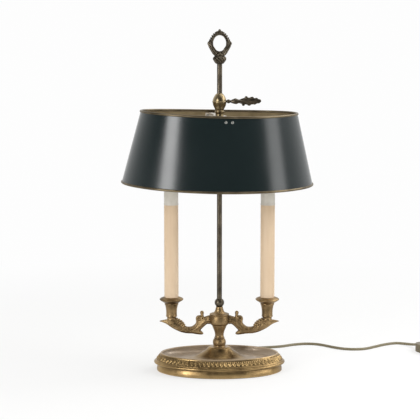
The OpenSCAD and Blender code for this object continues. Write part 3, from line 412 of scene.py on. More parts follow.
def build_leads():
    """The two runs of the lead, once the pieces on them are made."""
    into = LEAD_IN * SWITCH_DIR
    clear = STRAIGHT * SWITCH_DIR
    first = smooth([OUTLET, *LEAD_ROUTE, SWITCH_AT - clear, SWITCH_AT, SWITCH_AT + into], 6)
    turns = [coil_point(i / COIL_RINGS) for i in range(COIL_RINGS * COIL_TURNS + 1)]
    coil_start = turns[0] + CORD_D * BACK
    coil_finish = turns[-1] - CORD_D * BACK
    feed = smooth([SWITCH_END - into, SWITCH_END, SWITCH_END + clear, *FEED_ROUTE, coil_start], 6)
    coil = smooth([coil_start, *turns, coil_finish], 3)
    tail = smooth([
        coil_finish, coil_finish + Vector((0.6, -12, -1.2)), PLUG_AT + Vector((-0.6, 11, 0)), PLUG_AT,
    ], 6)
    second = feed + coil[1:] + tail[1:]
    lead = lead_curve("lead_to_switch", first, "cord_lead")
    rest = lead_curve("lead_to_plug", second, "cord_feed", "cord_coil", "cord_tail")


# ---- turned pieces ----
def outline_of(*runs):
    """One (radius, height) outline: smooth along each run of points, with a corner between two runs."""
    points = []
    for run in runs:
        curve = smooth([(r, z) for r, z in run], 6) if len(run) > 2 else [Vector(p) for p in run]
        points += [(p[0], p[1]) for p in curve]
    return points


def turned(name, node, slot, *runs, body="stand", closed=True, paint=None):
    """A turned piece on its CAD node's own axis, from the height of the node's foot."""
    low, high = span(node)
    shape = shifted(lathe(outline_of(*runs), closed=closed), (low.x + high.x) / 2, 0, low.z)
    show(name, mesh_of(name, shape, 32), body, slot, node, paint=paint)


def build_stem():
    turned(
        "baluster", "stem_baluster", "aged_brass",
        [(5, 0), (11.3, 0)],
        [(11.3, 0), (10.6, 0.7), (10.2, 1.8)],
        [(10.2, 1.8), (11.2, 4.2), (11.6, 7.5), (11.1, 10.8), (9.7, 13.3), (8.4, 14.4)],
        [(8.4, 14.4), (9.1, 15.1), (9.1, 16.1), (8.2, 16.8)],
        [(8.2, 16.8), (7.7, 19.5), (7.9, 22.5), (8.6, 26), (9.8, 29.5), (11.2, 32.8), (12.6, 36.2),
         (13.2, 38.5)],
        [(13.2, 38.5), (5, 38.5)],
        paint="satin_brass",
    )
    turned(
        "hub_drum", "hub", "aged_brass",
        [(5, 0), (13.3, 0)],
        [(13.3, 0), (15.4, 0.9), (16.9, 3), (17.5, 6.2), (17.5, 10), (17.1, 13.2), (16.2, 15.8)],
        [(16.2, 15.8), (16.3, 16.4)],
        [(16.9, 16.5), (17.4, 17), (17.4, 17.8), (16.9, 18.3)],
        [(16.9, 18.3), (13.5, 18.3)], [(13.5, 3), (5, 3)],
        paint="satin_brass",
    )
    spigot = 1.5  # how far the cap's foot goes into the hub
    turned(
        "hub_dome", "hub_cap", "aged_brass",
        [(4.5, 0), (13.4, 0)], [(13.4, spigot), (16.8, spigot)],
        [(16.8, spigot), (17.3, 2), (17.3, 2.7), (16.6, 3.2)],
        [(16.6, 3.2), (13.4, 3.7), (10.6, 5), (8.4, 7.6), (7.2, 10.6), (6.4, 13.4), (6, 15.9)],
        [(6, 15.9), (4.5, 15.9)],
        paint="satin_brass",
    )
    ball_r, rod_r = 8.45, 4.5
    half = math.sqrt(ball_r * ball_r - rod_r * rod_r)
    rise = math.asin(half / ball_r)
    turned(
        "rod_ball", "rod_collar", "dark_brass",
        [(ball_r * math.cos(rise * t / 8), half + ball_r * math.sin(rise * t / 8)) for t in range(-8, 9)],
    )


def build_candles():
    for side in ("left", "right"):
        turned(
            "candle_cup_" + side, "cup_" + side, "aged_brass",
            [(5, 0), (8.6, 0)],
            [(8.6, 0), (8.1, 1.2), (7.9, 2.6), (8.2, 4), (8.9, 5.2)],
            [(8.9, 5.2), (9.7, 5.7), (10, 6.4), (9.7, 7.3)],
            [(9.7, 7.3), (9.5, 9), (9.5, 13), (9.8, 18), (10.5, 22.6), (11.3, 25.8), (12, 27.2)],
            [(12, 27.2), (12.2, 27.7), (12.2, 28.6), (12, 29.2), (11.7, 29.5)],
            [(11.7, 29.5), (5, 29.5)],
            paint="satin_brass",
        )
        turned(
            "candle_pan_" + side, "drip_pan_" + side, "aged_brass",
            [(5, 0), (11.9, 0)],
            [(11.9, 0), (13.6, 1.3), (16.5, 3.3), (19.2, 5), (20.6, 6.2)],
            [(20.6, 6.2), (20.9, 6.7), (20.9, 7.4), (20.5, 8)],
            [(20.5, 8), (19, 9), (16.6, 10), (14.6, 10.7), (13.4, 10.95)],
            [(13.4, 10.95), (12.8, 11), (12.6, 10.6)], [(12.6, 4), (5, 4)],
            paint="satin_brass",
        )
        turned(
            "candle_sleeve_" + side, "candle_" + side, "candle_card",
            [(11.4, 0), (12.2, 0)], [(12.5, 0.3), (12.5, 170)], [(12.25, 170.5), (11.5, 170.5)],
        )
        turned(
            "holder_shell_" + side, "lampholder_" + side, "holder_white",
            [(5, 0), (11.2, 0)], [(11.2, 15), (12.6, 15)],
            [(12.8, 15.2), (12.8, 17.6)], [(12.5, 17.9), (12.5, 46)],
            [(12.5, 46), (12.3, 48), (11.6, 49.6), (10.4, 50)], [(10.4, 50), (7.6, 50)],
            [(7.6, 23), (2, 23)], [(2, 19), (9.5, 19)], [(9.5, 3), (5, 3)],
        )
        low, high = span("bulb_glass_" + side)
        r, h = (high.x - low.x) / 2, high.z - low.z
        turned(
            "bulb_" + side, "bulb_glass_" + side, "bulb_glass",
            [(0, 0), (0.37 * r, 0)],
            [(wide * r, up * h) for up, wide in (
                (0, 0.37), (0.04, 0.42), (0.12, 0.66), (0.22, 0.89), (0.32, 0.995), (0.38, 1),
                (0.48, 0.955), (0.6, 0.82), (0.72, 0.62), (0.84, 0.38), (0.93, 0.2), (0.985, 0.1), (1, 0))],
            closed=False,
        )


def build_holder():
    """The urn-shaped slide on the rod, which carries the shade."""
    turned(
        "shade_slide", "shade_holder", "bright_brass",
        [(4.55, 0), (6.2, 0)], [(6.2, 8.1), (7.5, 8.1)],
        [(7.5, 8.1), (7.15, 9.6), (7.1, 11.5), (7.4, 13.2)],
        [(7.9, 13.4), (8.1, 14), (8.1, 15.2), (7.7, 15.9)],
        [(7.5, 16.2), (7.6, 18.2), (8.5, 20.4), (10.2, 23.8), (11.4, 27.2), (12, 29.8), (12.1, 30.8)],
        [(12.6, 31), (12.8, 31.5), (12.8, 32.3), (12.4, 32.8)],
        [(12.1, 33), (11.7, 35.2), (10.7, 38.2), (9.2, 41.2), (7.4, 44), (5.4, 46.1)],
        [(5.4, 46.1), (4.55, 46.1)],
        body="carriage",
    )


# ---- cast pieces ----
def mark(mesh, name, values):
    """Gives each vertex a value from 0 to 1, which a finish reads by this name."""
    attribute = mesh.attributes.new(name, "FLOAT", "POINT")
    attribute.data.foreach_set("value", [unit(v) for v in values])


def mark_hollows(mesh, gain=2.0, crests=0.6, blur=2):
    """Marks from 0 to 1 how deep each vertex lies in hollows, which a finish darkens as patina and painted shade,
    or on crests, which it lightens as wear and painted highlight.
    """
    around = [[] for _ in mesh.vertices]
    for edge in mesh.edges:
        a, b = edge.vertices
        around[a].append(b)
        around[b].append(a)
    places = [v.co.copy() for v in mesh.vertices]
    values = []
    for vertex, near in zip(mesh.vertices, around):
        middle = sum((places[i] for i in near), Vector()) / len(near)
        step = sum((places[i] - vertex.co).length for i in near) / len(near)
        values.append((middle - vertex.co).dot(vertex.normal) / step)
    for _ in range(blur):
        values = [(v + sum(values[i] for i in near)) / (1 + len(near)) for v, near in zip(values, around)]
    mark(mesh, "hollow", [gain * v for v in values])
    mark(mesh, "crest", [-crests * gain * v for v in values])


def cast(name, shapes, voxel, rounds):
    """One cast form: closed shells melted into each other in voxels, then softened in rounds."""
    shells = placed(name + "_shells", mesh_of(name + "_shells", joined(*shapes)))
    melt = shells.modifiers.new("melt", "REMESH")
    melt.mode = "VOXEL"
    melt.voxel_size = voxel * MM
    soften = shells.modifiers.new("soften", "SMOOTH")
    soften.factor = 0.5
    soften.iterations = rounds
    mesh = applied(shells, name)
    mesh.shade_smooth()
    mark_hollows(mesh)
    return mesh


THINNEST = 0.15  # radius of a limb's sharpest tip


def rod_of(points, sides=20, flat=1.0, ribs=0, depth=0.0, steps=5):
    """A tapered limb through (x, z, radius) points in the plane of the arms, with ribs along it.

    flat is its thickness across that plane, as a share of its depth in it."""
    curve = smooth(points, steps)
    rows = []
    for i, point in enumerate(curve):
        ahead = curve[min(i + 1, len(curve) - 1)] - curve[max(i - 1, 0)]
        along = Vector((ahead[0], 0, ahead[1])).normalized()
        u = along.cross(BACK).normalized()
        row = []
        for angle in round_angles(sides):
            radius = max(THINNEST, point[2]) * (1 + depth * math.cos(ribs * angle))
            out = math.cos(angle) * u + flat * math.sin(angle) * BACK
            row.append(Vector((point[0], 0, point[1])) + radius * out)
        rows.append(row)
    return grid(rows, caps=True)


def blob(centre, radii, turn=0.0, steps=16):
    """An ellipsoid turned about Y by an angle in degrees."""
    outline = [(math.sin(math.pi * i / steps), -math.cos(math.pi * i / steps)) for i in range(steps + 1)]
    matrix = Matrix.Translation(centre) @ turn_by(turn, "Y") @ Matrix.Diagonal((*radii, 1))
    return moved(lathe([(max(r, 1e-4), z) for r, z in outline], 2 * steps), matrix)


def shifted(shape, x=0.0, y=0.0, z=0.0):
    return moved(shape, Matrix.Translation((x, y, z)))


ARM_FLAT = 0.86  # thickness of the arms, as a share of their depth
# The leaf's tips on an arm's faces as (x, z, radius), and the folds below them as (x, z, turn in degrees)
LEAF_TIPS = ((80, 2.2, 1.6), (75.6, 1.2, 1.9), (71.4, -0.9, 2.1), (67.6, -3.5, 2.1), (64.4, -6.6, 2),
             (62, -9.8, 1.7))
LEAF_FOLDS = ((46, -15.6, 20), (54, -16, 0), (62, -14.6, -20), (70, -11.2, -32), (78, -7.4, -30))


def arm_shapes(seat_z):
    """The right arm: a scrolled limb with leaves, its heights measured from the middle of its root."""
    root = rod_of([(15, 0, 7), (19, 0, 7.6), (21, -0.2, 6.7), (26, -2, 6.9), (31, -6, 6.8), (36, -11, 6.8),
                   (41, -15.5, 7), (46, -18, 6.4)], flat=ARM_FLAT, ribs=8, depth=0.07, sides=48)
    stem = rod_of([(36, -18.5, 5.4), (42, -18.8, 6.1), (50, -18.6, 5.9), (58, -18.3, 5.8), (66, -15.8, 6.4),
                   (74, -11.6, 7), (82, -7.4, 6.8), (90, -4.2, 5), (98, -2.9, 2.7), (106, -2.4, 0.6)],
                  flat=ARM_FLAT, ribs=8, depth=0.09, sides=48)
    leaf = rod_of([(91, -1.6, 3.8), (84, -1.4, 4.6), (77, -2.2, 4.6), (71.5, -4, 4.1), (67.4, -6.2, 3.5),
                   (64.4, -8.8, 2.7), (62.4, -11, 1.8)], flat=1.2, ribs=7, depth=0.1, sides=42)
    hook = rod_of([(48, -19.8, 5), (42, -20.8, 5), (37, -22, 4.6), (33, -23.6, 3.6), (30.2, -24.8, 2.3),
                   (28.9, -25.6, 1.3)], flat=1.1)
    crest = rod_of([(34, 2, 4), (31.2, 5.2, 3.6), (30.6, 8.2, 2.9), (30.7, 10.6, 2.8), (30.9, 12.4, 3.2)],
                   flat=1.1)
    bud = blob((30.8, 0, 12.7), (3.5, 3.4, 3.6))
    volute = rod_of([
        (52, -15.8, 3), (46.6, -14, 2.8), (42, -10.6, 2.6), (39.4, -5.8, 2.3), (39.3, -1.4, 2.1),
        (40, 2.4, 2), (38.6, 5.2, 2), (35.4, 6.1, 2), (32, 4.6, 2), (31, 1.2, 1.9), (32.3, -2.2, 1.8),
        (35, -3, 1.6), (37.2, -1.6, 1.5), (37.3, 0.8, 1.3), (35.8, 2, 1.2), (34.4, 1.3, 1),
    ], flat=2.5, steps=3)
    web = blob((36, 0, 1), (5.4, 3.9, 5.4))
    low, high = span("cup_right")
    seat = lathe([(0.01, -10), (4.6, -9.6), (6.4, -7), (6.9, -3), (7.4, seat_z - 1.4), (8.3, seat_z),
                  (0.01, seat_z)], 48)
    shapes = [root, stem, leaf, hook, crest, bud, volute, web, shifted(seat, x=(low.x + high.x) / 2)]
    for y in (-1, 1):
        shapes.append(blob((35.8, 4.4 * y, 1), (2, 1.9, 2)))
        for x, z, r in LEAF_TIPS:
            vein = rod_of([(x + 4.6, z - 5, 0.9), (x + 2.2, z - 2.4, r), (x, z, r)], flat=1.1)
            shapes += [shifted(vein, y=3.4 * y), blob((x, 3.4 * y, z), (r + 0.3, 1.8, r + 0.2))]
        for x, z, turn in LEAF_FOLDS:
            shapes += [blob((x, 4.7 * y, z), (5.4, 1.4, 1.5), turn),
                       blob((x + 3, 4.3 * y, z - 4.2), (4.4, 1.3, 1.2), turn + 4)]
        shapes += [blob((27.5, 5 * y, -3.6), (6.4, 1.6, 1.7), 40),
                   blob((33, 4.9 * y, -9.8), (5.6, 1.5, 1.5), 44)]
    return shapes


def build_arms():
    """Both arms, the left one the mirror image of the right."""
    root_z = span("hub")[0].z + 9
    seat_z = span("cup_right")[0].z - root_z
    mesh = cast("arm", [shifted(shape, z=root_z) for shape in arm_shapes(seat_z)], 0.6, 2)
    show("scroll_arm_right", mesh, "stand", "aged_brass", "arm_right", paint="satin_brass")
    other = mesh.copy()
    other.name = "scroll_arm_left"
    other.transform(Matrix.Diagonal((-1, 1, 1, 1)))
    other.flip_normals()
    show("scroll_arm_left", other, "stand", "aged_brass", "arm_left")


def build_knot():
    """The twisted knob between the rod and the ring."""
    low, high = span("finial_knot")
    foot_r = 5.6
    leaves, depth, twist = 11, 0.13, math.radians(75)
    verts, faces = lathe(outline_of(
        [(0, 0), (foot_r, 0)],
        [(foot_r, 0), (7.6, 1.3), (9.6, 4.1), (11.3, 6.8), (11.8, 9), (11.1, 11.4), (8.7, 13.6)],
        [(8.7, 13.6), (0, 13.6)],
    ), 180)
    height = high.z - low.z
    for vert in verts:
        radius = math.hypot(vert.x, vert.y)
        if radius > foot_r + 0.1:
            angle = math.atan2(vert.y, vert.x) + twist * vert.z / height
            groove = (1 - abs(math.cos(leaves * angle / 2))) ** 1.6
            scale = 1 - depth * groove * min(1, (radius - foot_r) / 3)
            vert.x *= scale
            vert.y *= scale
    mesh = mesh_of("twisted_knob", shifted((verts, faces), z=low.z), 50)
    mark_hollows(mesh, 4, 0.3)
    show("twisted_knob", mesh, "stand", "dark_brass", "finial_knot")


def build_ring():
    """The ring handle: a pointed arch of beads over two leaf scrolls, its heights from its foot."""
    foot = span("ring_handle")[0].z
    eye_a, eye_h, eye_z = 11.25, 13.75, 21.75
    crown = [(14.4, 22, 3.4), (13.8, 25, 3), (12, 29.6, 2.7), (8.7, 34.3, 2.6), (4.6, 37.1, 2.7),
             (0, 38.1, 2.8)]
    below = [math.pi * (1 + i / 24) for i in range(25)]
    bow = [((eye_a + 3) * math.cos(t), eye_z + (eye_h + 3) * math.sin(t), 3.2) for t in below]
    shapes = [rod_of(crown + [(-x, z, r) for x, z, r in crown[-2::-1]], flat=1.15, steps=4),
              rod_of(bow, flat=1.15, steps=2)]
    path = smooth([(1.6, 41.4), (5.4, 40.5), (11.1, 36.2), (15.7, 29), (18, 23.4)], 30)
    beads, pearls = 8, []
    for i in range(beads):
        place = path[round((i + 0.6) * (len(path) - 1) / beads)]
        for x in (-place.x, place.x):
            pearls.append(blob((x, 0, place.y), (1.65, 2, 1.65)))
    pearls.append(blob((0, 0, 43.2), (2.5, 2.5, 2.6)))
    for y in (-1, 1):
        inner = [((eye_a + 0.7) * math.cos(t), eye_z + (eye_h + 0.7) * math.sin(t), 0.7)
                 for t in (2 * math.pi * i / 48 for i in range(49))]
        shapes += [shifted(rod_of(inner, steps=2), y=2.9 * y), blob((0, 2.9 * y, 4.4), (3, 1.6, 3.6))]
    scroll = ((21.2, 20.5, 0.6), (19.3, 20.2, 1.6), (17, 18.4, 2.9), (14, 14.7, 3.7),
              (11, 10.2, 4), (8.3, 5.4, 3.8), (6, 2.6, 3), (3, 1.8, 2.4))
    spur = ((20.8, 20.9, 0.6), (19, 22.6, 1.9), (17, 23.4, 2.3), (14.6, 22, 2))
    for side in (-1, 1):
        shapes += [rod_of([(side * x, z, r) for x, z, r in scroll], flat=0.98, ribs=6, depth=0.13, sides=36),
                   rod_of([(side * x, z, r) for x, z, r in spur])]
    shapes.append(lathe([(0.01, 0), (7, 0), (7.9, 1), (7.6, 2.4), (5, 5.4), (0.01, 6)], 40))
    mesh = cast("ring_handle_casting", [shifted(shape, z=foot) for shape in shapes], 0.45, 1)
    show("ring_handle_casting", mesh, "stand", "dark_brass", "ring_handle")
    piece("ring_pearls", shifted(joined(*pearls), z=foot), "stand", "dark_brass")


def build_key():
    """The key: a screw with a turned shank and a lobed leaf to turn it by."""
    low, high = span("key_screw")
    shank = lathe([(r, x) for r, x in outline_of(
        [(0, 4.8), (2, 4.8)], [(2, 13.1), (2.8, 13.1)],
        [(2.8, 13.1), (3.4, 14.4), (3.4, 16.2), (2.6, 18)], [(2.1, 18.9), (2.1, 19.6)],
        [(2.5, 20), (3.6, 22.6), (4.6, 26.4), (4.4, 29.6), (3.4, 32.8), (2.8, 36)],
        [(2.6, 36), (2.4, 39), (0, 40)])], 48)
    leaf = rod_of([(33, -0.2, 2.8), (38.5, 0.1, 4.7), (45, 0.5, 6), (52, 0.4, 6.3), (60, 0.4, 5.5),
                   (66, 0.5, 4.2), (70.4, 0.6, 2.7), (72.2, 0.6, 1.2)], flat=0.32)
    stalk = rod_of([(32, 0, 1.8), (44, 0.4, 1.4), (58, 0.4, 1.1), (70, 0.6, 0.6)], flat=1.9)
    shapes = [moved(shank, turn_by(90, "Y")), leaf, stalk]
    lobes = ((46.2, 6.3, 2.9, 2.9), (55.6, 5.5, 3.9, 2.5), (63.4, 4, 3.2, 2.2), (69.2, 1.7, 2.6, 1.9),
             (41.2, -5.5, 2.7, 2.5), (50.8, -5.1, 3.5, 2.5), (60, -3.6, 3.4, 2.1), (67, -1.9, 2.8, 1.7),
             (26.5, 3.4, 3.4, 1.7), (27.5, -3.2, 3.2, 1.6))
    for x, z, long, deep in lobes:
        way = math.copysign(1, z)
        shapes.append(blob((x, 0, z), (long, 1.6, deep), -14 * way))
        if x > 40:
            vein = [(x - 7, 0.3 * way, 0.6), (x - 3, 0.45 * z, 0.7), (x + 0.6, z + 0.8 * way, 0.5)]
            shapes.append(rod_of(vein, flat=2.8))
    mesh = cast("leaf_key", [shifted(shape, z=(low.z + high.z) / 2) for shape in shapes], 0.4, 1)
    show("leaf_key", mesh, "key", "dark_brass", "key_screw")


# ---- the base: ovals, each named by its half length a ----
BASE_HIGH = span("base_casting")[1]  # the casting's half length, half width and height
FOOT_R = 11.4  # radius of the mound's top, under the baluster
MOUND_RUN = 88  # where the mound runs out into the dish
DISH_Z = 21.5  # height of the dish
COVE_A = 101.3  # where the dish's cove ends at the rim
RIM_Z = 32.5  # height of the rim
BAND_A = 109  # middle of the band of palmettes
BAND_TOP = Vector((105, 31.1))  # its upper edge, as (a, height)
BAND_FOOT = Vector((112.9, 20.2))
BAND_ROWS = 24  # rows of points down the band
REPEATS = 76  # palmettes round it
STEPS = 16  # columns of points in each
SUNK = 0.3  # how far the band's ground lies behind its straight line
WALL = 3  # thickness of the mound's wall, measured down
# The mound's outline from the baluster's foot out: shares of the way to its foot and of its height
MOUND = ((0, 1), (0.06, 0.99), (0.097, 0.93), (0.125, 0.84), (0.158, 0.735), (0.204, 0.615), (0.27, 0.47),
         (0.34, 0.34), (0.42, 0.235), (0.52, 0.16), (0.65, 0.09), (0.8, 0.03), (1, 0))
DUST_FROM, DUST_TO = 38, 105  # the dust lies between these ovals
DUST_IN, DUST_OUT = 26, 2.4  # over these distances it grows from the first and fades to the second
DUST_Z = 20  # it lies above this height


def leaf_relief(dx, across, pitch):
    """Height of the band's palmettes, dx from the middle of one and from -1 to 1 down the band."""
    half, root = 5.6, 3.6  # half the band's width, and how high its middle is over the leaves' root
    bead_z, bead_h, leaf_h = 1.2, 1.1, 0.75
    height = SUNK if abs(across) > 0.9 else 0.0
    y = root - across * half
    for shift in (-pitch, 0, pitch):
        x = dx - shift
        bead = 1 - (x * x + (y - bead_z) ** 2) / 2.2
        if bead > 0:
            height = max(height, bead_h * math.sqrt(bead))
        for degrees, length in ((0, 8.2), (-33, 8.6), (33, 8.6)):
            lean = math.radians(degrees)
            share = (x * math.sin(lean) + y * math.cos(lean)) / length
            if 0.1 < share < 1:
                wide = 0.3 + 0.72 * math.sin(math.pi * share ** 1.5) ** 0.7
                inside = 1 - ((x * math.cos(lean) - y * math.sin(lean)) / wide) ** 2
                if inside > 0:
                    height = max(height, leaf_h * math.sqrt(inside) * min(1, 4 * (1 - share)))
    return height


def half_width(a):
    """Half the width of the oval a."""
    share = unit((a - FOOT_R) / (COVE_A - FOOT_R))
    return a - (BASE_HIGH.x - BASE_HIGH.y) * share ** 1.2


def half_length(point):
    """The oval that runs through a vertex of the base, by its half length."""
    a = COVE_A
    for _ in range(4):
        a = max(FOOT_R, math.hypot(point.x / MM, point.y / MM * a / half_width(a)))
    return a


def dust_at(point):
    """Share of dust on a vertex: in the dish and on its rim."""
    a = half_length(point)
    return unit((a - DUST_FROM) / DUST_IN) * unit((DUST_TO - a) / DUST_OUT) if point.z > DUST_Z * MM else 0.0


def band_columns():
    """Angles of the ovals' columns, evenly spaced round the band, and the length of one palmette."""
    samples = 4000
    wide = half_width(BAND_A)
    run = [0.0]
    for i in range(samples):
        t = 2 * math.pi * (i + 0.5) / samples
        run.append(run[-1] + math.hypot(BAND_A * math.sin(t), wide * math.cos(t)) * 2 * math.pi / samples)
    columns = REPEATS * STEPS
    angles, at = [], 0
    for j in range(columns):
        while run[at + 1] < run[-1] * j / columns:
            at += 1
        part = (run[-1] * j / columns - run[at]) / (run[at + 1] - run[at])
        angles.append(2 * math.pi * (at + part) / samples)
    return angles, run[-1] / REPEATS


def mound_line(drop=0.0):
    """The mound's outside, or the wall's inside that much lower."""
    rise = BASE_HIGH.z - DISH_Z
    return [(FOOT_R + (MOUND_RUN - FOOT_R) * a, DISH_Z + rise * z - drop) for a, z in MOUND]


def base_line():
    """The casting's outline, as (a, height): from the baluster to the band, the band, and on round it."""
    above = [(8.4, BASE_HIGH.z)] + [(p.x, p.y) for p in smooth(mound_line(), 3)[:-1]]
    above += [(MOUND_RUN + (COVE_A - MOUND_RUN) * math.sin(math.radians(t)),
               RIM_Z - 1 - 10 * math.cos(math.radians(t))) for t in range(0, 91, 9)]
    above += [(101.9, 32.15), (102.6, 32.5), (103.5, 32.5), (104.3, 32.1), (104.8, 31.4)]
    band = [tuple(BAND_TOP.lerp(BAND_FOOT, i / (BAND_ROWS - 1))) for i in range(BAND_ROWS)]
    below = outline_of([(113.2, 19.7), (113.5, 19.2), (114.6, 18.8), (115.6, 17.9), (116, 16.7),
                        (115.7, 15.5), (114.8, 14.8), (113.6, 14.5)])[::2]
    below += [(111.6, 14), (110.2, 13.7), (109.5, 13.1), (109.5, 12.2), (110, 10.2), (110.6, 8),
              (110.95, 5.6), (111, 3.4), (110.9, 1.8), (110.4, 1.1), (108, 1)]
    below += [(108, 13), (110.6, 16.6), (108.6, 19.4), (100.6, 28.2), (98.4, 23.4), (88, 18.5)]
    below += mound_line(WALL)[-2:4:-1] + [(13.6, 39.5), (8.4, 39.5)]
    return above, band, below


def build_base():
    angles, pitch = band_columns()
    above, band, below = base_line()
    out = Vector((BAND_TOP.y - BAND_FOOT.y, BAND_FOOT.x - BAND_TOP.x)).normalized()
    relief = [[leaf_relief((k / STEPS - 0.5) * pitch, 2 * i / (BAND_ROWS - 1) - 1, pitch) - SUNK
               for k in range(STEPS)] for i in range(BAND_ROWS)]
    plain_row = [0.0] * STEPS
    lifts = [plain_row] * len(above) + relief + [plain_row] * len(below)
    rows = []
    for (line_a, z), lift in zip(above + band + below, lifts):
        row = []
        for j, t in enumerate(angles):
            a = line_a + lift[j % STEPS] * out.x
            row.append(Vector((a * math.cos(t), half_width(a) * math.sin(t), z + lift[j % STEPS] * out.y)))
        rows.append(row)
    mesh = mesh_of("oval_base", grid(rows, loop_rows=True), 60)
    # The band's hollows get strong painted shade and its crests a strong painted highlight.
    mark_hollows(mesh, 4, 0.8, 0)
    mark(mesh, "dust", [dust_at(v.co) for v in mesh.vertices])
    show("oval_base", mesh, "stand", "aged_brass", "base_casting")


# ---- the shade ----
SHADE_A, SHADE_B = 168, 118  # half the length and width of its lower edge
SHADE_IN, SHADE_H = 30.5, 122.5  # how far it leans in over its height
SHADE_UP = 6.5  # its upper edge at the ends, over the joint
SHADE_SAG = 2.8  # how much lower its sides' middles are than its ends
SHADE_T = 0.8  # thickness of the sheet
ROLL_R = 2.1  # radius of its rolled edges


def shade_matrix():
    """Where the shade stands: leant to the front and right, and turned on the holder."""
    stand = Matrix.Translation(joint_point("shade_swivel"))
    return stand @ turn_by(1.4, "Y") @ turn_by(1.9, "X") @ turn_by(10, "Z")


def shade_point(angle, height, off=0.0):
    """A point of the shade's outside: height over its lower edge at the ends, and off outward from it."""
    inward = SHADE_IN * height / SHADE_H
    a, b = SHADE_A - inward, SHADE_B - inward
    out = Vector((math.cos(angle) / a, math.sin(angle) / b, 0)).normalized()
    drop = SHADE_SAG * math.sin(angle) ** 2
    foot = SHADE_UP - SHADE_H
    return Vector((a * math.cos(angle), b * math.sin(angle), foot + height - drop)) + off * out


def build_shade():
    """The sheet, painted outside and in, and the brass rolls at its edges."""
    levels, angles = 12, round_angles(256)
    low_h, high_h = ROLL_R * 0.6, SHADE_H - ROLL_R * 0.6
    heights = [low_h + (high_h - low_h) * i / levels for i in range(levels + 1)]
    rows = [[shade_point(t, h) for t in angles] for h in heights]
    rows += [[shade_point(t, h, -SHADE_T) for t in angles] for h in reversed(heights)]
    mesh = mesh_of("tole_shade", moved(grid(rows, loop_rows=True), shade_matrix()), 50)
    mesh.materials.append(PAINTS["shade_paint"])
    mesh.materials.append(PAINTS["shade_inside"])
    centre = joint_point("shade_swivel") * MM
    for face in mesh.polygons:
        outward = (face.center - centre) * FLAT
        face.material_index = 0 if face.normal.dot(outward) > 0 else 1
    show("tole_shade", mesh, "shade", "shade_paint", "shade_body")
    circle = [(math.cos(t), math.sin(t)) for t in round_angles(16)]
    for node, height in (("shade_rim_top", SHADE_H), ("shade_rim_bottom", 0)):
        rows = []
        for t in angles:
            middle = shade_point(t, height, -SHADE_T / 2)
            out = ((shade_point(t, height, ROLL_R) - middle) * FLAT).normalized()
            rows.append([middle + ROLL_R * (x * out + y * UP) for x, y in circle])
        roll = mesh_of(node + "_roll", moved(grid(rows, loop_rows=True), shade_matrix()))
        show(node + "_roll", roll, "shade", "bright_brass", node, paint="rim_brass")


def build_rivets():
    """Domed heads, inside and out, of the rivets that hold the spider's ends in the shade."""
    outline = [(0.01, -3.1), (1.2, -3), (2, -2.75), (2.45, -2.3), (2.5, -2.05), (1.5, -2.05),
               (1.5, 0.9), (2.5, 0.9), (2.45, 1.15), (2, 1.6), (1.2, 1.9), (0.01, 2)]
    below_joint = 4.5
    rivets = []
    for end in (-1, 1):
        for x in (-5.5, 5.5):
            height = SHADE_H - SHADE_UP + SHADE_SAG - below_joint
            place = shade_point(end * math.pi / 2, height, -SHADE_T)
            place.x = x
            out = Vector((0, end, SHADE_IN / SHADE_H))
            rivets.append(moved(lathe(outline, 32), Matrix.Translation(place) @ turned_to(out)))
    mesh = mesh_of("rivet_heads", moved(joined(*rivets), shade_matrix()))
    show("rivet_heads", mesh, "shade", "bright_brass", "spider_rivets", paint="rivet_metal")


# ---- small fittings ----
def softened(name, node, width, body, slot, paint=None):
    """A CAD node's own shape with its edges rounded by width."""
    source = frame["nodes"][node]
    mesh = source.data.copy()
    mesh.transform(source.matrix_world)
    mesh.materials.clear()
    bm = bmesh.new()
    bm.from_mesh(mesh)
    bmesh.ops.remove_doubles(bm, verts=bm.verts, dist=1e-6)
    bmesh.ops.dissolve_limit(bm, angle_limit=math.radians(1), verts=bm.verts, edges=bm.edges)
    bm.to_mesh(mesh)
    bm.free()
    rough = placed(name + "_rough", mesh)
    bevel = rough.modifiers.new("round", "BEVEL")
    bevel.width = width * MM
    bevel.segments = 4
    bevel.angle_limit = math.radians(35)
    bevel.harden_normals = True
    show(name, applied(rough, name), body, slot, node, paint=paint)


def ribbed(outline, ribs, depth, start, end, steps=8):
    """A straight outline between two (radius, length) points, grooved between two shares of its run."""
    (r0, z0), (r1, z1) = outline
    points = []
    count = ribs * steps
    for i in range(count + 1):
        share = start + (end - start) * i / count
        groove = depth * (0.5 - 0.5 * math.cos(2 * math.pi * i / steps)) ** 2
        points.append((r0 + (r1 - r0) * share - groove, z0 + (z1 - z0) * share))
    return [(r0, z0), *points, (r1, z1)]


def turned_to(direction):
    """A turn that takes +Z to the direction."""
    return direction.normalized().to_track_quat("Z", "Y").to_matrix().to_4x4()


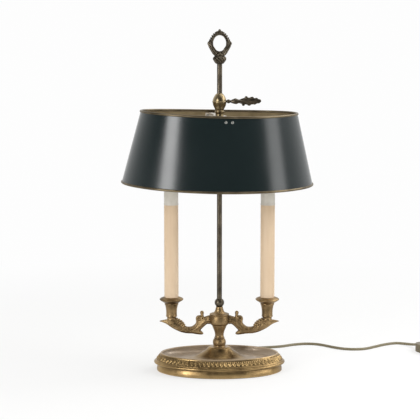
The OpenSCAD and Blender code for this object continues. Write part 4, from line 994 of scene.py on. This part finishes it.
def build_fittings():
    # the shade's lock ring, knurled
    low, high = span("lock_ring")
    r, h, bore_r, knurl = (high.x - low.x) / 2, high.z - low.z, 6.25, 0.35
    verts, faces = lathe([(bore_r, 0), (r - 0.6, 0), (r, 0.5), (r, h - 0.5), (r - 0.6, h), (bore_r, h)],
                         160, True)
    for k, vert in enumerate(verts):
        if math.hypot(vert.x, vert.y) > r - 0.1 and k % 4 < 2:
            vert.x *= 1 - knurl / r
            vert.y *= 1 - knurl / r
    piece("knurled_ring", shifted((verts, faces), z=low.z), "carriage", "aged_brass", "lock_ring", crease=30)

    # the strain relief at the base
    low, high = span("cord_relief")
    flange, reach, wall = (high.x - low.x) / 2, OUTLET.y, 66.4
    outline = [(2.6, low.y), (4.3, low.y), (4.3, low.y + 1.6), (4, low.y + 2),
               (4, wall), (flange - 0.4, wall), (flange, wall + 0.5), (flange, wall + 1.3),
               (flange - 0.5, wall + 1.8),
               *ribbed([(flange - 0.9, wall + 2), (3.4, reach)], 7, 0.7, 0.06, 0.86), (2.6, reach)]
    along = Matrix.Translation((0, 0, OUTLET.z)) @ turn_by(-90, "X")
    piece("base_relief", moved(lathe(outline, 48, True), along), "stand", "plug_plastic", "cord_relief",
          crease=40)

    # the plug's relief
    length = 28
    outline = [(0.5, 0), (2.7, 0), *ribbed([(3.3, 0.2), (4.85, length)], 8, 0.8, 0.04, 0.84), (0.5, length)]
    along = Matrix.Translation(PLUG_AT) @ turn_by(90, "X")
    piece("plug_ribs", moved(lathe(outline, 48), along), "stand", "plug_plastic", "plug_relief", crease=40)

    # The spider's pale brass carries a painted highlight.
    softened("spider", "spider_bar", 0.45, "shade", "aged_brass", "pale_highlight_brass")
    softened("lower_shell", "switch_lower", 1.2, "stand", "switch_plastic")
    softened("upper_shell", "switch_upper", 0.8, "stand", "switch_plastic")
    softened("rocker", "switch_rocker", 0.5, "rocker", "switch_plastic")
    softened("plug", "plug_body", 2.6, "stand", "plug_plastic")
    softened("pins", "plug_pins", 0.8, "stand", "steel")
    softened("tie", "cord_tie", 0.25, "stand", "plug_plastic")
    softened("felt", "felt_pad", 0.5, "stand", "felt")


build_stem()
build_candles()
build_holder()
build_arms()
build_knot()
build_ring()
build_key()
build_base()
build_shade()
build_rivets()
build_fittings()
build_leads()


# ---- camera, light and floor ----
def add_camera():
    """The photograph's eye: 2.05 m in front of the lamp, a little above it, looking down 6.6 degrees."""
    camera = bpy.data.cameras.new("camera")
    camera.lens = 101.14
    camera.sensor_width = 36
    obj = placed("camera", camera)
    obj.location = (-0.0166, -2.053, 0.524)
    obj.rotation_euler = (math.radians(90 - 6.6), 0, 0)
    bpy.context.scene.camera = obj


def add_lamp(name, azimuth, elevation, distance, width, height, power, aim=(0, 0, 0.3)):
    """A soft rectangular lamp. Azimuth 0 is at the camera, and it grows to the right."""
    light = bpy.data.lights.new(name, "AREA")
    light.shape = "RECTANGLE"
    light.size = width
    light.size_y = height
    light.energy = power
    obj = placed(name, light)
    turn, rise = math.radians(azimuth), math.radians(elevation)
    place = Vector((math.sin(turn) * math.cos(rise), -math.cos(turn) * math.cos(rise), math.sin(rise)))
    obj.location = Vector(aim) + distance * place
    obj.rotation_euler = place.to_track_quat("Z", "Y").to_euler()
    obj.visible_camera = False


def rays(tree, *kinds):
    """1 for rays of these kinds, 0 for the rest."""
    path = tree.nodes.new("ShaderNodeLightPath")
    total = path.outputs[f"Is {kinds[0]} Ray"]
    for kind in kinds[1:]:
        total = math_node(tree, "MAXIMUM", total, path.outputs[f"Is {kind} Ray"])
    return total


WHITE = 0.985  # how white the studio is to the camera
SKY = 0.55  # how brightly it lights what doesn't reflect it
FRONT, BEHIND = -0.45, 0.5  # between these parts along Y a reflected direction brightens
DIM = 0.06  # how bright it is in reflections from the front


def add_world():
    """White to the camera and in reflections from behind, dim in reflections from the front of the studio."""
    world = bpy.data.worlds.new("studio")
    bpy.context.scene.world = world
    world.use_nodes = True
    tree = world.node_tree
    split = tree.nodes.new("ShaderNodeSeparateXYZ")
    tree.links.new(tree.nodes.new("ShaderNodeTexCoord").outputs["Generated"], split.inputs[0])
    light = tree.nodes.new("ShaderNodeMix")
    tree.links.new(rays(tree, "Glossy"), light.inputs[0])
    light.inputs[2].default_value = SKY
    tree.links.new(ranged(tree, split.outputs["Y"], FRONT, BEHIND, DIM, 1.0), light.inputs[3])
    white = math_node(tree, "MULTIPLY", rays(tree, "Camera", "Transmission"), WHITE)
    background = tree.nodes["Background"]
    tree.links.new(math_node(tree, "MAXIMUM", white, light.outputs[0]), background.inputs["Strength"])
    background.inputs["Color"].default_value = (1, 1, 1, 1)


def add_floor():
    """A white sweep: it keeps the lamp's shadow near the lamp and turns plain white further off."""
    near, far, reach = 0.3, 1.3, 12
    glow_near = 0.62  # share of plain white at the lamp
    mesh = bpy.data.meshes.new("floor")
    mesh.from_pydata([(-reach, -reach, 0), (reach, -reach, 0), (reach, reach, 0), (-reach, reach, 0)],
                     [], [(0, 1, 2, 3)])
    material, tree, shader = new_material("floor")
    shader.inputs["Base Color"].default_value = (0.9, 0.9, 0.885, 1)
    shader.inputs["Roughness"].default_value = 0.8
    shader.inputs["Specular IOR Level"].default_value = 0.1
    glow = tree.nodes.new("ShaderNodeEmission")
    glow.inputs["Strength"].default_value = WHITE
    length = tree.nodes.new("ShaderNodeVectorMath")
    length.operation = "LENGTH"
    tree.links.new(tree.nodes.new("ShaderNodeTexCoord").outputs["Object"], length.inputs[0])
    fade = ranged(tree, length.outputs["Value"], near, far, glow_near, 1.0, "SMOOTHSTEP")
    direct = rays(tree, "Camera", "Glossy", "Transmission")
    blend = tree.nodes.new("ShaderNodeMixShader")
    tree.links.new(math_node(tree, "MULTIPLY", fade, direct), blend.inputs["Fac"])
    tree.links.new(shader.outputs[0], blend.inputs[1])
    tree.links.new(glow.outputs[0], blend.inputs[2])
    tree.links.new(blend.outputs[0], tree.nodes["Material Output"].inputs["Surface"])
    mesh.materials.append(material)
    placed("floor", mesh)


add_camera()
add_world()
add_floor()
add_lamp("left_strip", -40, 12, 1.9, 0.52, 1.5, 20.5)
add_lamp("right_strip", 69, 12, 1.9, 0.56, 1.5, 8)
add_lamp("right_high", 100, 36, 1.9, 1.5, 0.6, 13)
add_lamp("right_low", 58, 5, 0.62, 0.5, 0.1, 0.45, aim=(0.05, -0.05, 0.03))
add_lamp("top_soft", 95, 70, 1.9, 1.6, 1.6, 12)
bpy.context.scene.view_settings.view_transform = "Standard"
